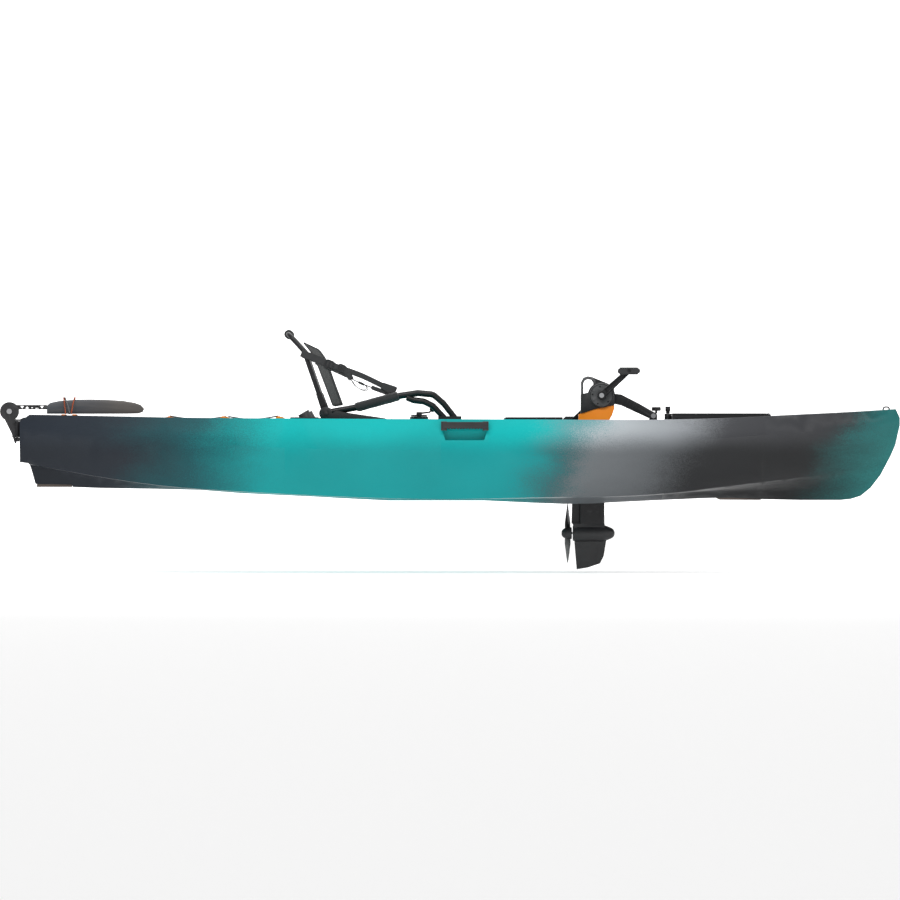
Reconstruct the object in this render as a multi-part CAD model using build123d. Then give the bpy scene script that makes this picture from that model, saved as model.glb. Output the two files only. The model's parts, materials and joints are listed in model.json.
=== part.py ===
"""Pedal boat: a sit-on-top fishing hull with a tilting pedal drive, a flip-up rudder and a framed mesh seat.

Frame: +X to the bow, +Y to port, +Z up, in millimetres. The origin is on the flat of the keel, amidships.
"""
import math
import os

from build123d import *

# ------------------------------------------------------------------ driving dimensions
LENGTH = 3658.0  # transom to stem
BEAM = 914.0  # over the side crease
WALL = 6.0  # moulded wall of the hull
HALF_LENGTH = LENGTH / 2
HALF_BEAM = BEAM / 2
RUN = 0.06  # radial clearance of a running shaft
CLEAR = 0.3  # gap beside a soft piece

# Cockpit and wells
FOOT_X = (20.0, 840.0)
FOOT_HALF = 290.0
FOOT_Z = 100.0
SHELF_X = (-700.0, 80.0)
SHELF_HALF = 290.0
SHELF_Z = 329.0
SEAT_WELL_X = (-640.0, 30.0)
SEAT_WELL_HALF = 165.0
SEAT_WELL_Z = 130.0
TANK_X = (-1225.0, -720.0)
TANK_HALF = (190.0, 236.0)  # at its aft end, at its forward end
TANK_Z = 190.0
TUB_X = (900.0, 1250.0)
TUB_HALF = 150.0
TUB_Z = 180.0
ISLAND_X = (60.0, 850.0)
ISLAND_HALF = 66.0
ISLAND_Z = 230.0
CONSOLE_X = 760.0
CONSOLE_Z = 325.0
SLOT_X = (78.0, 625.0)
SLOT_HALF = 44.0
SCUPPER_R = 17.0
SCUPPERS = ((140.0, 200.0), (740.0, 180.0), (-560.0, 110.0), (-1120.0, 130.0))

# Side carry handles and the finger pockets under them
GRIP_X = (-80.0, 115.0)
GRIP_Z = (291.0, 325.0)
POCKET_Z = (250.0, 289.0)
POCKET_DEPTH = 40.0
GRIP_T = 12.0

# Pedal drive
PIVOT = (802.7, 351.9)  # X, Z of the tilt axis
PIVOT_R = 6.0
EAR_R = 16.0
EAR_Y = (30.0, 36.0)
CRANK = (586.9, 436.8)  # X, Z of the crank axis
CRANK_LENGTH = 150.0
CRANK_ANGLE = 42.2  # of the starboard arm above the bow direction
SHAFT_R = 10.0
CASE_HALF = 50.0
CASE_R = 56.0
CASE_WALL = 4.0
COVER_R = 51.0
BEARING_R = 16.0
ARM_Y = (62.0, 80.0)
ARM_WIDTH = (30.0, 23.0)
PEDAL_Y = (90.0, 188.0)
PEDAL_SIZE = (91.0, 29.0)
SPINDLE_R = 7.0
COWL_HALF = 46.0
COWL_WALL = 3.0
COWL_Z = 233.0
LEG_X = (495.0, 600.0)
LEG_HALF = 25.0
LEG_Z = -96.0
FAIRING_X = 463.0
POD_Z = -136.2
POD_R = 35.4
POD_X = (468.0, 642.6)
DRIVE_SHAFT_R = 5.0
PROP_X = 446.6
PROP_R = 123.6
HUB_X = (421.0, 464.0)
HUB_R = 25.0
PROP_SHAFT_R = 4.0

# Gears: teeth and pitch radii
CRANK_TEETH, CRANK_PITCH = 40, 40.0
UPPER_TEETH, UPPER_PITCH = 12, 12.0
LOWER_TEETH, LOWER_PITCH = 36, 18.0
PROP_TEETH, PROP_PITCH = 12, 6.0

# Seat
HINGE = (-557.0, 361.5)  # X, Z of the recline axis
HINGE_R = 27.0
PIN_R = 5.0
RAIL_Y = 215.0
RAIL_R = 12.0
SLEEVE_R = 17.5
SEAT_GAP = 0.3  # between the seat's feet and the shelf
BACK_Y = 187.0
BACK_R = 10.0
BACK_TOP = (-646.0, 618.0)
GRIP_TOP = (-712.0, 690.0)

# Rudder
DRUM = (-HALF_LENGTH - 47.9, 370.6)  # X, Z of the flip axis
DRUM_R = 39.0
STEER_X = -HALF_LENGTH - 16.0
STEER_R = 5.0
BLADE_HALF = 7.0
DRUM_HALF = 9.0
CHEEK_Y = (10.0, 16.0)

# Steering lever on the port side deck
LEVER = (-173.0, 332.0)  # X, Y
LEVER_R = 39.0

# Rod holders
ROD_R = 21.0
ROD_WALL = 3.5
ROD_DEPTH = 200.0
ROD_PLACE = (-640.0, 345.0)
ROD_LEAN = 30.0
ROD_POCKET = (44.0, 30.0)

os.makedirs("parts", exist_ok=True)


# ------------------------------------------------------------------ helpers
def outline_xz(points):
    return make_face(Plane.XZ * Polyline(*points, close=True))


def plate_xz(points, y0, y1):
    """A flat plate with its outline in X, Z, from y0 to y1."""
    face = make_face(Plane.XZ.offset(-y1) * Polyline(*points, close=True))
    return extrude(face, amount=y1 - y0, dir=(0, -1, 0))


def plate_xy(points, z0, z1):
    """A flat plate with its outline in X, Y, from z0 to z1."""
    face = make_face(Plane.XY.offset(z0) * Polyline(*points, close=True))
    return extrude(face, amount=z1 - z0, dir=(0, 0, 1))


def block(x0, x1, y0, y1, z0, z1):
    """A box between two corners."""
    return Pos((x0 + x1) / 2, (y0 + y1) / 2, (z0 + z1) / 2) * Box(x1 - x0, y1 - y0, z1 - z0)


def rod(start, end, radius):
    """A cylinder from start to end."""
    axis = Vector(*end) - Vector(*start)
    plane = Plane(origin=start, z_dir=axis)
    return plane * Cylinder(radius, axis.length, align=(Align.CENTER, Align.CENTER, Align.MIN))


def disc(place, radius, y0, y1):
    """A cylinder along Y at an X, Z place."""
    return rod((place[0], y0, place[1]), (place[0], y1, place[1]), radius)


def post(place, radius, z0, z1):
    """A cylinder along Z at an X, Y place."""
    return rod((place[0], place[1], z0), (place[0], place[1], z1), radius)


def tube_path(points, y, bend):
    """Straight runs joined by arcs, in a plane of constant Y."""
    return FilletPolyline(*[(x, y, z) for x, z in points], radius=bend)


def swept(path, radius):
    """A round bar along a path."""
    plane = Plane(origin=path @ 0, z_dir=path % 0)
    return sweep(plane * Circle(radius), path=path)


def port(shape):
    """The mirror image of a starboard piece."""
    return mirror(shape, about=Plane.XZ)


def both(shape):
    """A starboard piece and its port twin."""
    return [shape, port(shape)]


def solids_of(shape):
    if isinstance(shape, (list, tuple)):
        return [solid for item in shape for solid in solids_of(item)]
    return list(shape.solids())


def save(name, *shapes):
    """Writes every solid of the shapes to one node."""
    export_step(Compound(children=solids_of(shapes)), f"parts/{name}.step")


def interpolate(table, x):
    """The value at x on a table of (x, value) pairs."""
    if x <= table[0][0]:
        return table[0][1]
    for (xa, a), (xb, b) in zip(table, table[1:]):
        if x <= xb:
            return a + (b - a) * (x - xa) / (xb - xa)
    return table[-1][1]


# ------------------------------------------------------------------ hull
# Stations from transom to stem: X at the drawn length, then half breadth and height of the keel's edge, tunnel,
# sponson, chine, crease and sheer, all at the drawn beam.
DRAWN_HALF_LENGTH = 1829.0
DRAWN_HALF_BEAM = 457.0
STATIONS = (
    (-1829, (30, 40), (45, 157), (62, 158), (80, 160), (95, 298), (75, 357)),
    (-1700, (26, 40), (40, 132), (100, 133), (142, 136), (165, 287), (143, 354)),
    (-1500, (24, 40), (60, 98), (150, 99), (215, 101), (245, 270), (222, 350)),
    (-1200, (24, 36), (85, 66), (210, 58), (290, 60), (330, 248), (305, 344)),
    (-900, (26, 18), (105, 52), (250, 36), (345, 39), (392, 228), (365, 341)),
    (-400, (28, -8), (125, 40), (292, 13), (395, 15), (441, 212), (415, 338)),
    (0, (30, -10), (130, 38), (300, 8), (405, 9), (456, 210), (428, 336.5)),
    (400, (30, -22), (130, 34), (292, 12), (395, 17), (452, 216), (424, 335)),
    (800, (28, -12), (110, 34), (240, 24), (340, 29), (412, 239), (384, 334.5)),
    (1100, (25, -8), (80, 40), (170, 50), (262, 62), (348, 261), (320, 342)),
    (1400, (22, -12), (50, 44), (95, 74), (150, 96), (248, 283), (225, 356)),
    (1600, (18, -12), (30, 50), (48, 92), (72, 124), (158, 304), (140, 366)),
    (1750, (13, -12), (18, 56), (21, 112), (25, 160), (78, 329), (62, 375)),
    (1829, (8, -12), (9, 66), (10, 130), (11, 200), (13, 344), (12, 380)),
)
DECK_CROWN = 2.0
# Side view of the keel and stem, from the skeg's heel forward, and the ends above them
KEEL_LINE = (
    (-1829, 160), (-1792, 155), (-1783, 127), (-1767, 69), (-1616, 67), (-1612, 56), (-1500, 52), (-1250, 48),
    (-1084, 44), (-917, 31), (-751, 23), (-584, 15), (-501, 10), (-300, 0), (100, 0), (290, -9), (480, -16),
    (665, -6), (832, 2), (1019, 10), (1123, 12), (1269, 5), (1415, 2), (1581, 2), (1623, 6), (1665, 19),
    (1706, 52), (1748, 106), (1790, 185), (1810, 231), (1829, 314),
)
BOW_TOP = ((1829, 344), (1802, 400))
STERN_TOP = ((-1780, 400), (-1791.6, 354), (-1829, 331))
STRETCH = HALF_LENGTH / DRAWN_HALF_LENGTH
SPREAD = HALF_BEAM / DRAWN_HALF_BEAM
SHEER_HALF = tuple((s[0] * STRETCH, s[6][0] * SPREAD) for s in STATIONS)
SHEER_Z = tuple((s[0] * STRETCH, s[6][1]) for s in STATIONS)
CREASE_HALF = tuple((s[0] * STRETCH, s[5][0] * SPREAD) for s in STATIONS)


def station_face(station, inset):
    """One cross section, moved inwards by inset all round."""
    x, *rows = station
    half = []
    for rank, (breadth, height) in enumerate(rows):
        rise = (inset, inset, inset, inset, 0.0, -inset)[rank]
        half.append((max(breadth * SPREAD - inset, 2.0 + rank * 0.2), height + rise))
    top = (0.0, rows[5][1] + DECK_CROWN - inset)
    outline = half + [top] + [(-y, z) for y, z in reversed(half)]
    plane = Plane(origin=(x * STRETCH, 0, 0), x_dir=(0, 1, 0), z_dir=(1, 0, 0))
    return make_face(plane * Polyline(*outline, close=True))


def side_view(inset):
    """A wide plate with the hull's outline as seen from the side, moved inwards by inset."""
    points = [(x * STRETCH, z) for x, z in (*KEEL_LINE, *BOW_TOP, *STERN_TOP)]
    face = outline_xz(points)
    if inset:
        face = offset(face, -inset, kind=Kind.INTERSECTION)
    reach = HALF_BEAM + 50
    plate = extrude(face, amount=reach, dir=(0, -1, 0)) + extrude(face, amount=reach, dir=(0, 1, 0))
    return plate


def recesses(grow):
    """Everything cut out of the hull from above or through it, grown outwards by grow."""
    top = 430.0
    foot = block(FOOT_X[0] - grow, FOOT_X[1] + grow, -FOOT_HALF - grow, FOOT_HALF + grow, FOOT_Z - grow, top)
    island = block(ISLAND_X[0] + grow, FOOT_X[1] + 60, -ISLAND_HALF + grow, ISLAND_HALF - grow,
                   FOOT_Z - 60, ISLAND_Z - grow)
    console = block(CONSOLE_X + grow, FOOT_X[1] + 60, -ISLAND_HALF + grow, ISLAND_HALF - grow,
                    ISLAND_Z - 60, CONSOLE_Z - grow)
    seat = block(SEAT_WELL_X[0] - grow, SEAT_WELL_X[1] + grow, -SEAT_WELL_HALF - grow, SEAT_WELL_HALF + grow,
                 SEAT_WELL_Z - grow, top)
    shelf = block(SHELF_X[0] - grow, SHELF_X[1] + grow, -SHELF_HALF - grow, SHELF_HALF + grow, SHELF_Z - grow, top)
    aft, fore = TANK_HALF
    tank = plate_xy([(TANK_X[0] - grow, -aft - grow), (TANK_X[1] + grow, -fore - grow),
                     (TANK_X[1] + grow, fore + grow), (TANK_X[0] - grow, aft + grow)], TANK_Z - grow, top)
    tub = block(TUB_X[0] - grow, TUB_X[1] + grow, -TUB_HALF - grow, TUB_HALF + grow, TUB_Z - grow, top)
    slot = block(SLOT_X[0] - grow, SLOT_X[1] + grow, -SLOT_HALF - grow, SLOT_HALF + grow, -60.0, ISLAND_Z + 60)
    drains = [post((x, side * y), SCUPPER_R + grow, -60.0, TANK_Z + 60) for x, y in SCUPPERS for side in (-1, 1)]
    return (foot + seat) - (island + console) + shelf + tank + tub + slot + drains


def grip_pockets(grow):
    """The finger pockets under the side carry handles."""
    side = interpolate(CREASE_HALF, 0.0)
    low = (GRIP_X[0] + 18 - grow, GRIP_X[1] - 18 + grow)
    outline = [(low[0], POCKET_Z[0] - grow), (low[1], POCKET_Z[0] - grow),
               (GRIP_X[1] - 6 + grow, POCKET_Z[1] + grow), (GRIP_X[0] + 6 - grow, POCKET_Z[1] + grow)]
    pocket = plate_xz(outline, -side - 60, -side + POCKET_DEPTH + grow)
    return pocket + port(pocket)


def rod_pockets():
    """The square openings that the rod holders drop into."""
    x, y = ROD_PLACE
    cut = block(x - ROD_POCKET[0], x + ROD_POCKET[0], -y - ROD_POCKET[1], -y + ROD_POCKET[1], 315.0, 400.0)
    return cut + port(cut)


def hull_skin(inset):
    """The hull's outer form, closed by its side view."""
    return loft([station_face(s, inset) for s in STATIONS]) & side_view(inset)


def hull(skin):
    """The hollow moulded hull: an outer skin, its wells, and the sealed space between them."""
    shell = skin - recesses(0.0) - grip_pockets(0.0)
    hollow = hull_skin(WALL) - recesses(WALL) - grip_pockets(WALL)
    return shell - hollow - rod_pockets()


def portion(shape, x=(-LENGTH, LENGTH), y=(-BEAM, BEAM), z=(-100.0, 500.0)):
    """What of a shape lies between these planes."""
    room = block(*x, *y, *z)
    found = []
    for solid in solids_of(shape):
        inside = solid & room
        if inside:
            found += solids_of(inside)
    return found


def hull_bays(shell):
    """The moulding divided at planes just inside its wells, so that every well stays open between plain bays."""
    edge = 2.0
    tank = (TANK_X[0] + edge, TANK_X[1] - edge)
    mid = (tank[1], FOOT_X[1] - edge)
    tub = (TUB_X[0] + edge, TUB_X[1] - edge)
    foot_y = FOOT_HALF - edge
    island_y = ISLAND_HALF + edge
    seat_y = SEAT_WELL_HALF - edge
    step = FOOT_X[0] + edge
    slot = (SLOT_X[0] + edge, SLOT_X[1] - edge)
    under = 60.0
    bays = portion(shell, x=(-LENGTH, -1500.0)) + portion(shell, x=(-1500.0, tank[0]))
    bays += portion(shell, x=(mid[1], tub[0])) + portion(shell, x=(tub[1], 1550.0)) + portion(shell, x=(1550.0, LENGTH))
    for x, half in ((tank, TANK_HALF[0] - edge), (tub, TUB_HALF - edge)):
        bay = portion(shell, x=x)
        side = portion(bay, y=(-BEAM, -half))
        bays += side + solids_of([port(s) for s in side]) + portion(bay, y=(-half, half))

    rail = portion(shell, x=mid, y=(-BEAM, -foot_y))
    x, y = ROD_PLACE
    rods = (mid[0], -500.0)
    hole_x = (x - ROD_POCKET[0], x + ROD_POCKET[0])
    hole_y = (-y - ROD_POCKET[1] - 1, -y + ROD_POCKET[1] + 1)
    grip = (GRIP_X[0], GRIP_X[1])
    grip_y = -interpolate(CREASE_HALF, 0.0) + POCKET_DEPTH - 1
    side = portion(rail, x=rods, y=(hole_y[1], 0.0)) + portion(rail, x=rods, y=(-BEAM, hole_y[0]))
    strip = portion(rail, x=rods, y=hole_y)
    side += portion(strip, x=(mid[0], hole_x[0])) + portion(strip, x=(hole_x[1], rods[1])) + portion(strip, x=hole_x)
    side += portion(rail, x=(rods[1], grip[0])) + portion(rail, x=grip, y=(grip_y, 0.0))
    side += portion(rail, x=grip, y=(-BEAM, grip_y), z=(-100.0, POCKET_Z[0] + 1))
    side += portion(rail, x=grip, y=(-BEAM, grip_y), z=(POCKET_Z[0] + 1, POCKET_Z[1] - 1))
    side += portion(rail, x=grip, y=(-BEAM, grip_y), z=(POCKET_Z[1] - 1, 500.0))
    side += portion(rail, x=(grip[1], 430.0)) + portion(rail, x=(430.0, mid[1]))

    centre = portion(shell, x=mid, y=(-foot_y, foot_y))
    floor = portion(centre, x=(step, mid[1]))
    side += portion(floor, y=(-foot_y, -island_y), z=(under, 500.0))
    side += portion(floor, x=(slot[0], mid[1]), y=(-foot_y, -island_y), z=(-100.0, under))
    ridge = portion(floor, y=(-island_y, island_y))
    side += portion(ridge, x=slot, y=(-island_y, 0.0))
    seat = portion(centre, x=(SEAT_WELL_X[0] + edge, step), z=(under, 500.0))
    side += portion(seat, y=(-foot_y, -seat_y))
    bays += side + solids_of([port(s) for s in side])
    bays += portion(seat, y=(-seat_y, seat_y))
    bays += portion(centre, x=(mid[0], SEAT_WELL_X[0] + edge), z=(under, 500.0))
    bays += portion(centre, x=(mid[0], slot[0]), z=(-100.0, under))
    for x in ((step, ISLAND_X[0] - edge), (ISLAND_X[0] - edge, slot[0])):
        bays += portion(ridge, x=x, z=(under, 500.0))
    bays += portion(ridge, x=(slot[1], CONSOLE_X - edge)) + portion(ridge, x=(CONSOLE_X - edge, mid[1]))
    return bays


def deck_ring(outer, inner, z0, z1):
    """A rectangular ring between two (x0, x1, half width) rectangles."""
    frame = block(outer[0], outer[1], -outer[2], outer[2], z0, z1)
    return frame - block(inner[0], inner[1], -inner[2], inner[2], z0 - 1, z1 + 1)


# ------------------------------------------------------------------ hull fittings
RIM = 22.0
COAMING_Z = 354.0
LID_T = 6.0
LID_TOP = 362.0
LID_X = (TUB_X[0] - RIM, TUB_X[1] + RIM)
LID_HALF = TUB_HALF + RIM
HATCH_PIN = (LID_X[1] + 8.0, 358.2)
KNUCKLE_R = 4.5
HATCH_EAR_Y = 90.0


def hatch_coaming(skin):
    """The rim round the bow tub, seated on the deck, with the hinge's fixed knuckles."""
    ring = deck_ring((*LID_X, LID_HALF), (*TUB_X, TUB_HALF), 325.0, COAMING_Z)
    knuckles = []
    for y in (-HATCH_EAR_Y, HATCH_EAR_Y):
        foot = block(LID_X[1], LID_X[1] + 16, y - 20, y - 4, 325.0, HATCH_PIN[1])
        knuckles.append(foot + disc(HATCH_PIN, KNUCKLE_R, y - 20, y - 4) - disc(HATCH_PIN, 2.0 + RUN, y - 21, y - 3))
    return (ring + knuckles) - skin


def hatch_gasket():
    inset = RIM / 2
    outer = (LID_X[0] + inset - 4, LID_X[1] - inset + 4, LID_HALF - inset + 4)
    inner = (LID_X[0] + inset + 4, LID_X[1] - inset - 4, LID_HALF - inset - 4)
    return deck_ring(outer, inner, COAMING_Z, LID_TOP - LID_T - CLEAR)


def hatch_lid():
    """The lid, with stiffening ribs below, a raised panel and the moving knuckles."""
    low = LID_TOP - LID_T
    lid = block(LID_X[0], LID_X[1] - 2, -LID_HALF, LID_HALF, low, LID_TOP)
    lid = fillet(lid.edges().filter_by(Axis.Z), 24.0)
    lid = chamfer(lid.faces().sort_by(Axis.Z)[-1].edges(), 2.0)
    ribs = [block(x, x + 4, -TUB_HALF + 12, TUB_HALF - 12, low - 14, low) for x in (960.0, 1070.0, 1180.0)]
    knuckles = []
    for y in (-HATCH_EAR_Y, HATCH_EAR_Y):
        arm = block(LID_X[1] - 6, HATCH_PIN[0], y - 3.5, y + 12, HATCH_PIN[1] - 1, LID_TOP)
        barrel = arm + disc(HATCH_PIN, KNUCKLE_R, y - 3.5, y + 12)
        knuckles.append(barrel - disc(HATCH_PIN, 2.0 + RUN, y - 5, y + 14))
    return lid + ribs + knuckles


def hatch_pins():
    return [disc(HATCH_PIN, 2.0, y - 20, y + 12) for y in (-HATCH_EAR_Y, HATCH_EAR_Y)]


LATCH = (864.0, 0.0)


def hatch_latch():
    """A turning knob on the deck, with a tongue that turns over the lid's edge."""
    x, y = LATCH
    knob = post(LATCH, 10.5, 372.0, 391.0) + post(LATCH, 8.0, LID_TOP + 0.5, 372.0)
    tongue = block(x - 7, x + 7, 0, 26, LID_TOP + 0.5, LID_TOP + 4.5)
    return knob + tongue - post(LATCH, 4.0 + RUN, 350.0, 385.0)


def latch_post(skin):
    return (post(LATCH, 4.0, 320.0, 384.0) + post(LATCH, 14.0, 320.0, LID_TOP - 0.5)) - skin


def skid_plates(skin):
    """Wear strips screwed under the skeg's heel and under the forefoot."""
    stern = block(-1762 * STRETCH, -1617 * STRETCH, -20, 20, 56.0, 90.0) - skin
    bow = plate_xz([(1066, 30), (1066, 9), (1080, 3), (1246, 2), (1256, 6), (1256, 30)], -24, 24) - skin
    return stern, bow


def carry_handle(skin):
    """A starboard handle: a back plate against the hull's side and a serrated grip edge below it."""
    side = interpolate(CREASE_HALF, 0.0)
    x0, x1 = GRIP_X
    bar = block(x0 + 8, x1 - 8, -side - 6, -side + 45, GRIP_Z[0] + 8, GRIP_Z[1])
    ends = [block(x, x + 24, -side - 3, -side + 45, GRIP_Z[0] - 1, GRIP_Z[1] + 2) for x in (x0, x1 - 24)]
    teeth = [block(x0 + 30 + 12 * i, x0 + 36 + 12 * i, -side - 4, -side + 36, GRIP_Z[0] + 4, GRIP_Z[0] + 8)
             for i in range(12)]
    return (bar + ends + teeth) - skin


def bow_loop(skin):
    """A rope loop through the stem head."""
    path = FilletPolyline((HALF_LENGTH - 69, 0, 374), (HALF_LENGTH - 69, 0, 389), (HALF_LENGTH - 43, 0, 389),
                          (HALF_LENGTH - 43, 0, 376), radius=10)
    return swept(path, 3.0) - skin


TRACK_X = (184.0, 420.0)
TRACK_Y = 386.0
TRACK_HALF = 15.0
TRACK_TOP = 345.0


def accessory_track(skin):
    """A starboard T-slot rail on the gunwale."""
    y = -TRACK_Y
    bar = block(*TRACK_X, y - TRACK_HALF, y + TRACK_HALF, 325.0, TRACK_TOP)
    throat = block(TRACK_X[0] - 1, TRACK_X[1] + 1, y - 4.5, y + 4.5, TRACK_TOP - 6, TRACK_TOP + 1)
    groove = block(TRACK_X[0] - 1, TRACK_X[1] + 1, y - 9, y + 9, TRACK_TOP - 6, TRACK_TOP - 2.5)
    return bar - throat - groove - skin


def rod_holder(skin):
    """A starboard flush rod holder: a leaning tube with a flange on the deck."""
    x, y = ROD_PLACE
    lean = math.radians(ROD_LEAN)
    axis = Vector(-math.sin(lean), 0, math.cos(lean))
    top = Vector(x, -y, 352.0)
    mouth = top + axis * 14
    foot = top - axis * ROD_DEPTH
    flange = block(x - 60, x + 56, -y - 38, -y + 38, 325.0, 345.0) - skin
    throat = block(x - ROD_POCKET[0], x + ROD_POCKET[0], -y - ROD_POCKET[1], -y + ROD_POCKET[1], 300.0, 400.0)
    flange = flange - (throat & skin)
    body = rod(tuple(foot), tuple(mouth), ROD_R + ROD_WALL) + flange
    return body - rod(tuple(foot + axis * ROD_WALL), tuple(mouth + axis * 20), ROD_R)


def foot_pad():
    """A starboard soft pad on the footwell's floor."""
    pad = block(FOOT_X[0] + 60, FOOT_X[1] - 20, -FOOT_HALF + 8, -ISLAND_HALF - 8, FOOT_Z, FOOT_Z + 5)
    holes = [post((x, -y), SCUPPER_R + 4, FOOT_Z - 1, FOOT_Z + 7) for x, y in SCUPPERS[:2]]
    return pad - holes


BUNGEE_R = 3.0
HOOK_X = (-1205.0, -980.0, -750.0)


def hook_y(x):
    aft, fore = TANK_HALF
    return aft + (fore - aft) * (x - TANK_X[0]) / (TANK_X[1] - TANK_X[0]) + 16


def deck_hooks(skin):
    """Bungee hooks along both sides of the tank well."""
    hooks = []
    for x in HOOK_X:
        base = block(x - 12, x + 12, -hook_y(x) - 9, -hook_y(x) + 9, 325.0, 347.0) - skin
        horn = block(x - 5, x + 5, -hook_y(x) - 5, -hook_y(x) + 9, 347.0, 350.0)
        hooks.append(base + horn)
    return [both(hook) for hook in hooks]


def tank_bungee():
    """The zigzag cord across the tank well, one straight leg per pair of hooks."""
    legs = []
    for i, (xa, xb) in enumerate(zip(HOOK_X, HOOK_X[1:])):
        side = -1 if i % 2 else 1
        start = (xa + 6, side * (hook_y(xa) - 8.3), 347.3 + BUNGEE_R)
        end = (xb - 6, -side * (hook_y(xb) - 8.3), 347.3 + BUNGEE_R)
        legs.append(rod(start, end, BUNGEE_R))
    return legs


def deck_screws():
    """Screw heads on the tracks, the stern plate and the skid plate."""
    heads = []
    for x in (TRACK_X[0] + 12, TRACK_X[1] - 12):
        for side in (-1, 1):
            heads.append(post((x, side * TRACK_Y), 3.6, TRACK_TOP - 6, TRACK_TOP - 3))
    return heads


# ------------------------------------------------------------------ rudder
LUGS = ((248.0, 262.0), (331.0, 338.0))
SPINE_Z = (263.0, 330.0)
STEER_LIMIT = 35.0  # degrees each way
FLIP_LIMIT = 250.0  # degrees from stowed to full down
BRACKET_HALF = 34.0


def rudder_bracket():
    """The plate on the transom with two lugs for the steering pin."""
    face = -HALF_LENGTH
    plate = block(face - 4, face, -BRACKET_HALF, BRACKET_HALF, 215.0, 330.0)
    lugs = []
    for z0, z1 in LUGS:
        arm = block(STEER_X, face - 4, -9, 9, z0, z1) + post((STEER_X, 0), 9.0, z0, z1)
        lugs.append(arm)
    return plate + lugs - post((STEER_X, 0), STEER_R + RUN / 2, 200.0, 345.0)


def steering_pin():
    return post((STEER_X, 0), STEER_R, LUGS[0][0], LUGS[1][1]) + post((STEER_X, 0), 8.0, LUGS[0][0] - 3, LUGS[0][0])


def rudder_head():
    """Two cheeks round the drum, joined by a spine on the steering pin, with a horn each side."""
    x, z = DRUM
    tail = [(x - 25, z - 22.9), (x - 10, z - 52), (x + 8.5, z - 89), (x + 23, z - 133), (STEER_X - 4, z - 133),
            (STEER_X - 4, SPINE_Z[0] - 2), (STEER_X - 8, SPINE_Z[0] - 2), (STEER_X - 8, SPINE_Z[1]), (x + 24, z - 20)]
    shape = disc(DRUM, DRUM_R, -CHEEK_Y[1], CHEEK_Y[1])
    shape = shape + plate_xz(tail, -CHEEK_Y[1], CHEEK_Y[1])
    shape = shape - block(x - 60, STEER_X - 17, -CHEEK_Y[0], CHEEK_Y[0], 200.0, 430.0)
    shape = shape - disc(DRUM, DRUM_R + 2, -CHEEK_Y[0], CHEEK_Y[0])
    spine = block(STEER_X - 20, STEER_X, -CHEEK_Y[1] + 2, CHEEK_Y[1] - 2, *SPINE_Z)
    spine = spine + post((STEER_X, 0), 12.0, *SPINE_Z)
    horn = block(STEER_X - 14, STEER_X - 4, -28, 28, SPINE_Z[1] - 8, SPINE_Z[1] - 2)
    shape = shape + spine + horn
    shape = shape - post((STEER_X, 0), STEER_R + RUN, 220.0, 345.0)
    shape = shape - post((STEER_X, 0), 14.0, 225.0, SPINE_Z[0] - 0.5) - post((STEER_X, 0), 12.0, SPINE_Z[1], 345.0)
    steer = Axis((STEER_X, 0, 0), (0, 0, 1))
    lugs = block(STEER_X, -HALF_LENGTH, -10.5, 10.5, LUGS[0][0] - 1, LUGS[0][1] + 1)
    lugs = lugs + block(STEER_X, -HALF_LENGTH, -10.5, 10.5, LUGS[1][0] - 1, LUGS[1][1] + 1)
    lugs = lugs + block(-HALF_LENGTH - 5, -HALF_LENGTH, -BRACKET_HALF - 1, BRACKET_HALF + 1, 214.0, 331.0)
    for turn in (-STEER_LIMIT - 1, STEER_LIMIT + 1):
        shape = shape - lugs.rotate(steer, turn)
    arm = block(x + 20, BLADE_X[0], -6.8, 6.8, z + 7.6, z + 27.8)
    arm = arm.rotate(Axis((x, 0, z), (0, -1, 0)), FLIP_LIMIT)
    return shape - arm - disc(DRUM, 6.05, -30, 30)


def rudder_axle():
    bolt = disc(DRUM, 6.0, -CHEEK_Y[1], CHEEK_Y[1])
    heads = [disc(DRUM, 11.0, side * CHEEK_Y[1], side * (CHEEK_Y[1] + 4)) for side in (-1, 1)]
    return bolt + heads


def rudder_arm():
    """The drum and the pierced arm that carries the blade."""
    x, z = DRUM
    drum = disc(DRUM, DRUM_R - 1, -DRUM_HALF, DRUM_HALF)
    arm = plate_xz([(x + 20, z + 8.4), (BLADE_X[0], z + 8.4), (BLADE_X[0], z + 27), (x + 20, z + 27)], -6, 6)
    count = 5
    first = x + DRUM_R + 6
    pitch = (BLADE_X[0] - 8 - first) / count
    for i in range(count):
        left = first + i * pitch
        if i % 2:
            web = [(left, z + 12), (left + pitch - 5, z + 12), (left + pitch / 2 - 2, z + 23)]
        else:
            web = [(left, z + 23), (left + pitch - 5, z + 23), (left + pitch / 2 - 2, z + 12)]
        arm = arm - plate_xz(web, -7, 7)
    return drum + arm - disc(DRUM, 6.0 + RUN, -30, 30)


BLADE_X = (-HALF_LENGTH + 108.0, -HALF_LENGTH + 510.0)
BLADE_Z = (360.0, 421.0)


def rudder_blade():
    """The stowed blade: a foil-shaped plate with a curved top edge."""
    x0, x1 = BLADE_X
    low, high = BLADE_Z
    top = Spline((x0, low + 36), (x0 + 45, low + 52), (x0 + 180, high), (x0 + 300, high - 3), (x1, low + 30))
    tip = Spline((x1, low + 30), (x1 + 1, low + 12), (x1 - 16, low + 1))
    keel = Polyline((x1 - 16, low + 1), (x0 + 150, low), (x0, low), (x0, low + 36))
    face = make_face(Plane.XZ.offset(-BLADE_HALF) * (top + tip + keel))
    blade = extrude(face, amount=2 * BLADE_HALF, dir=(0, -1, 0))
    return blade


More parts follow.
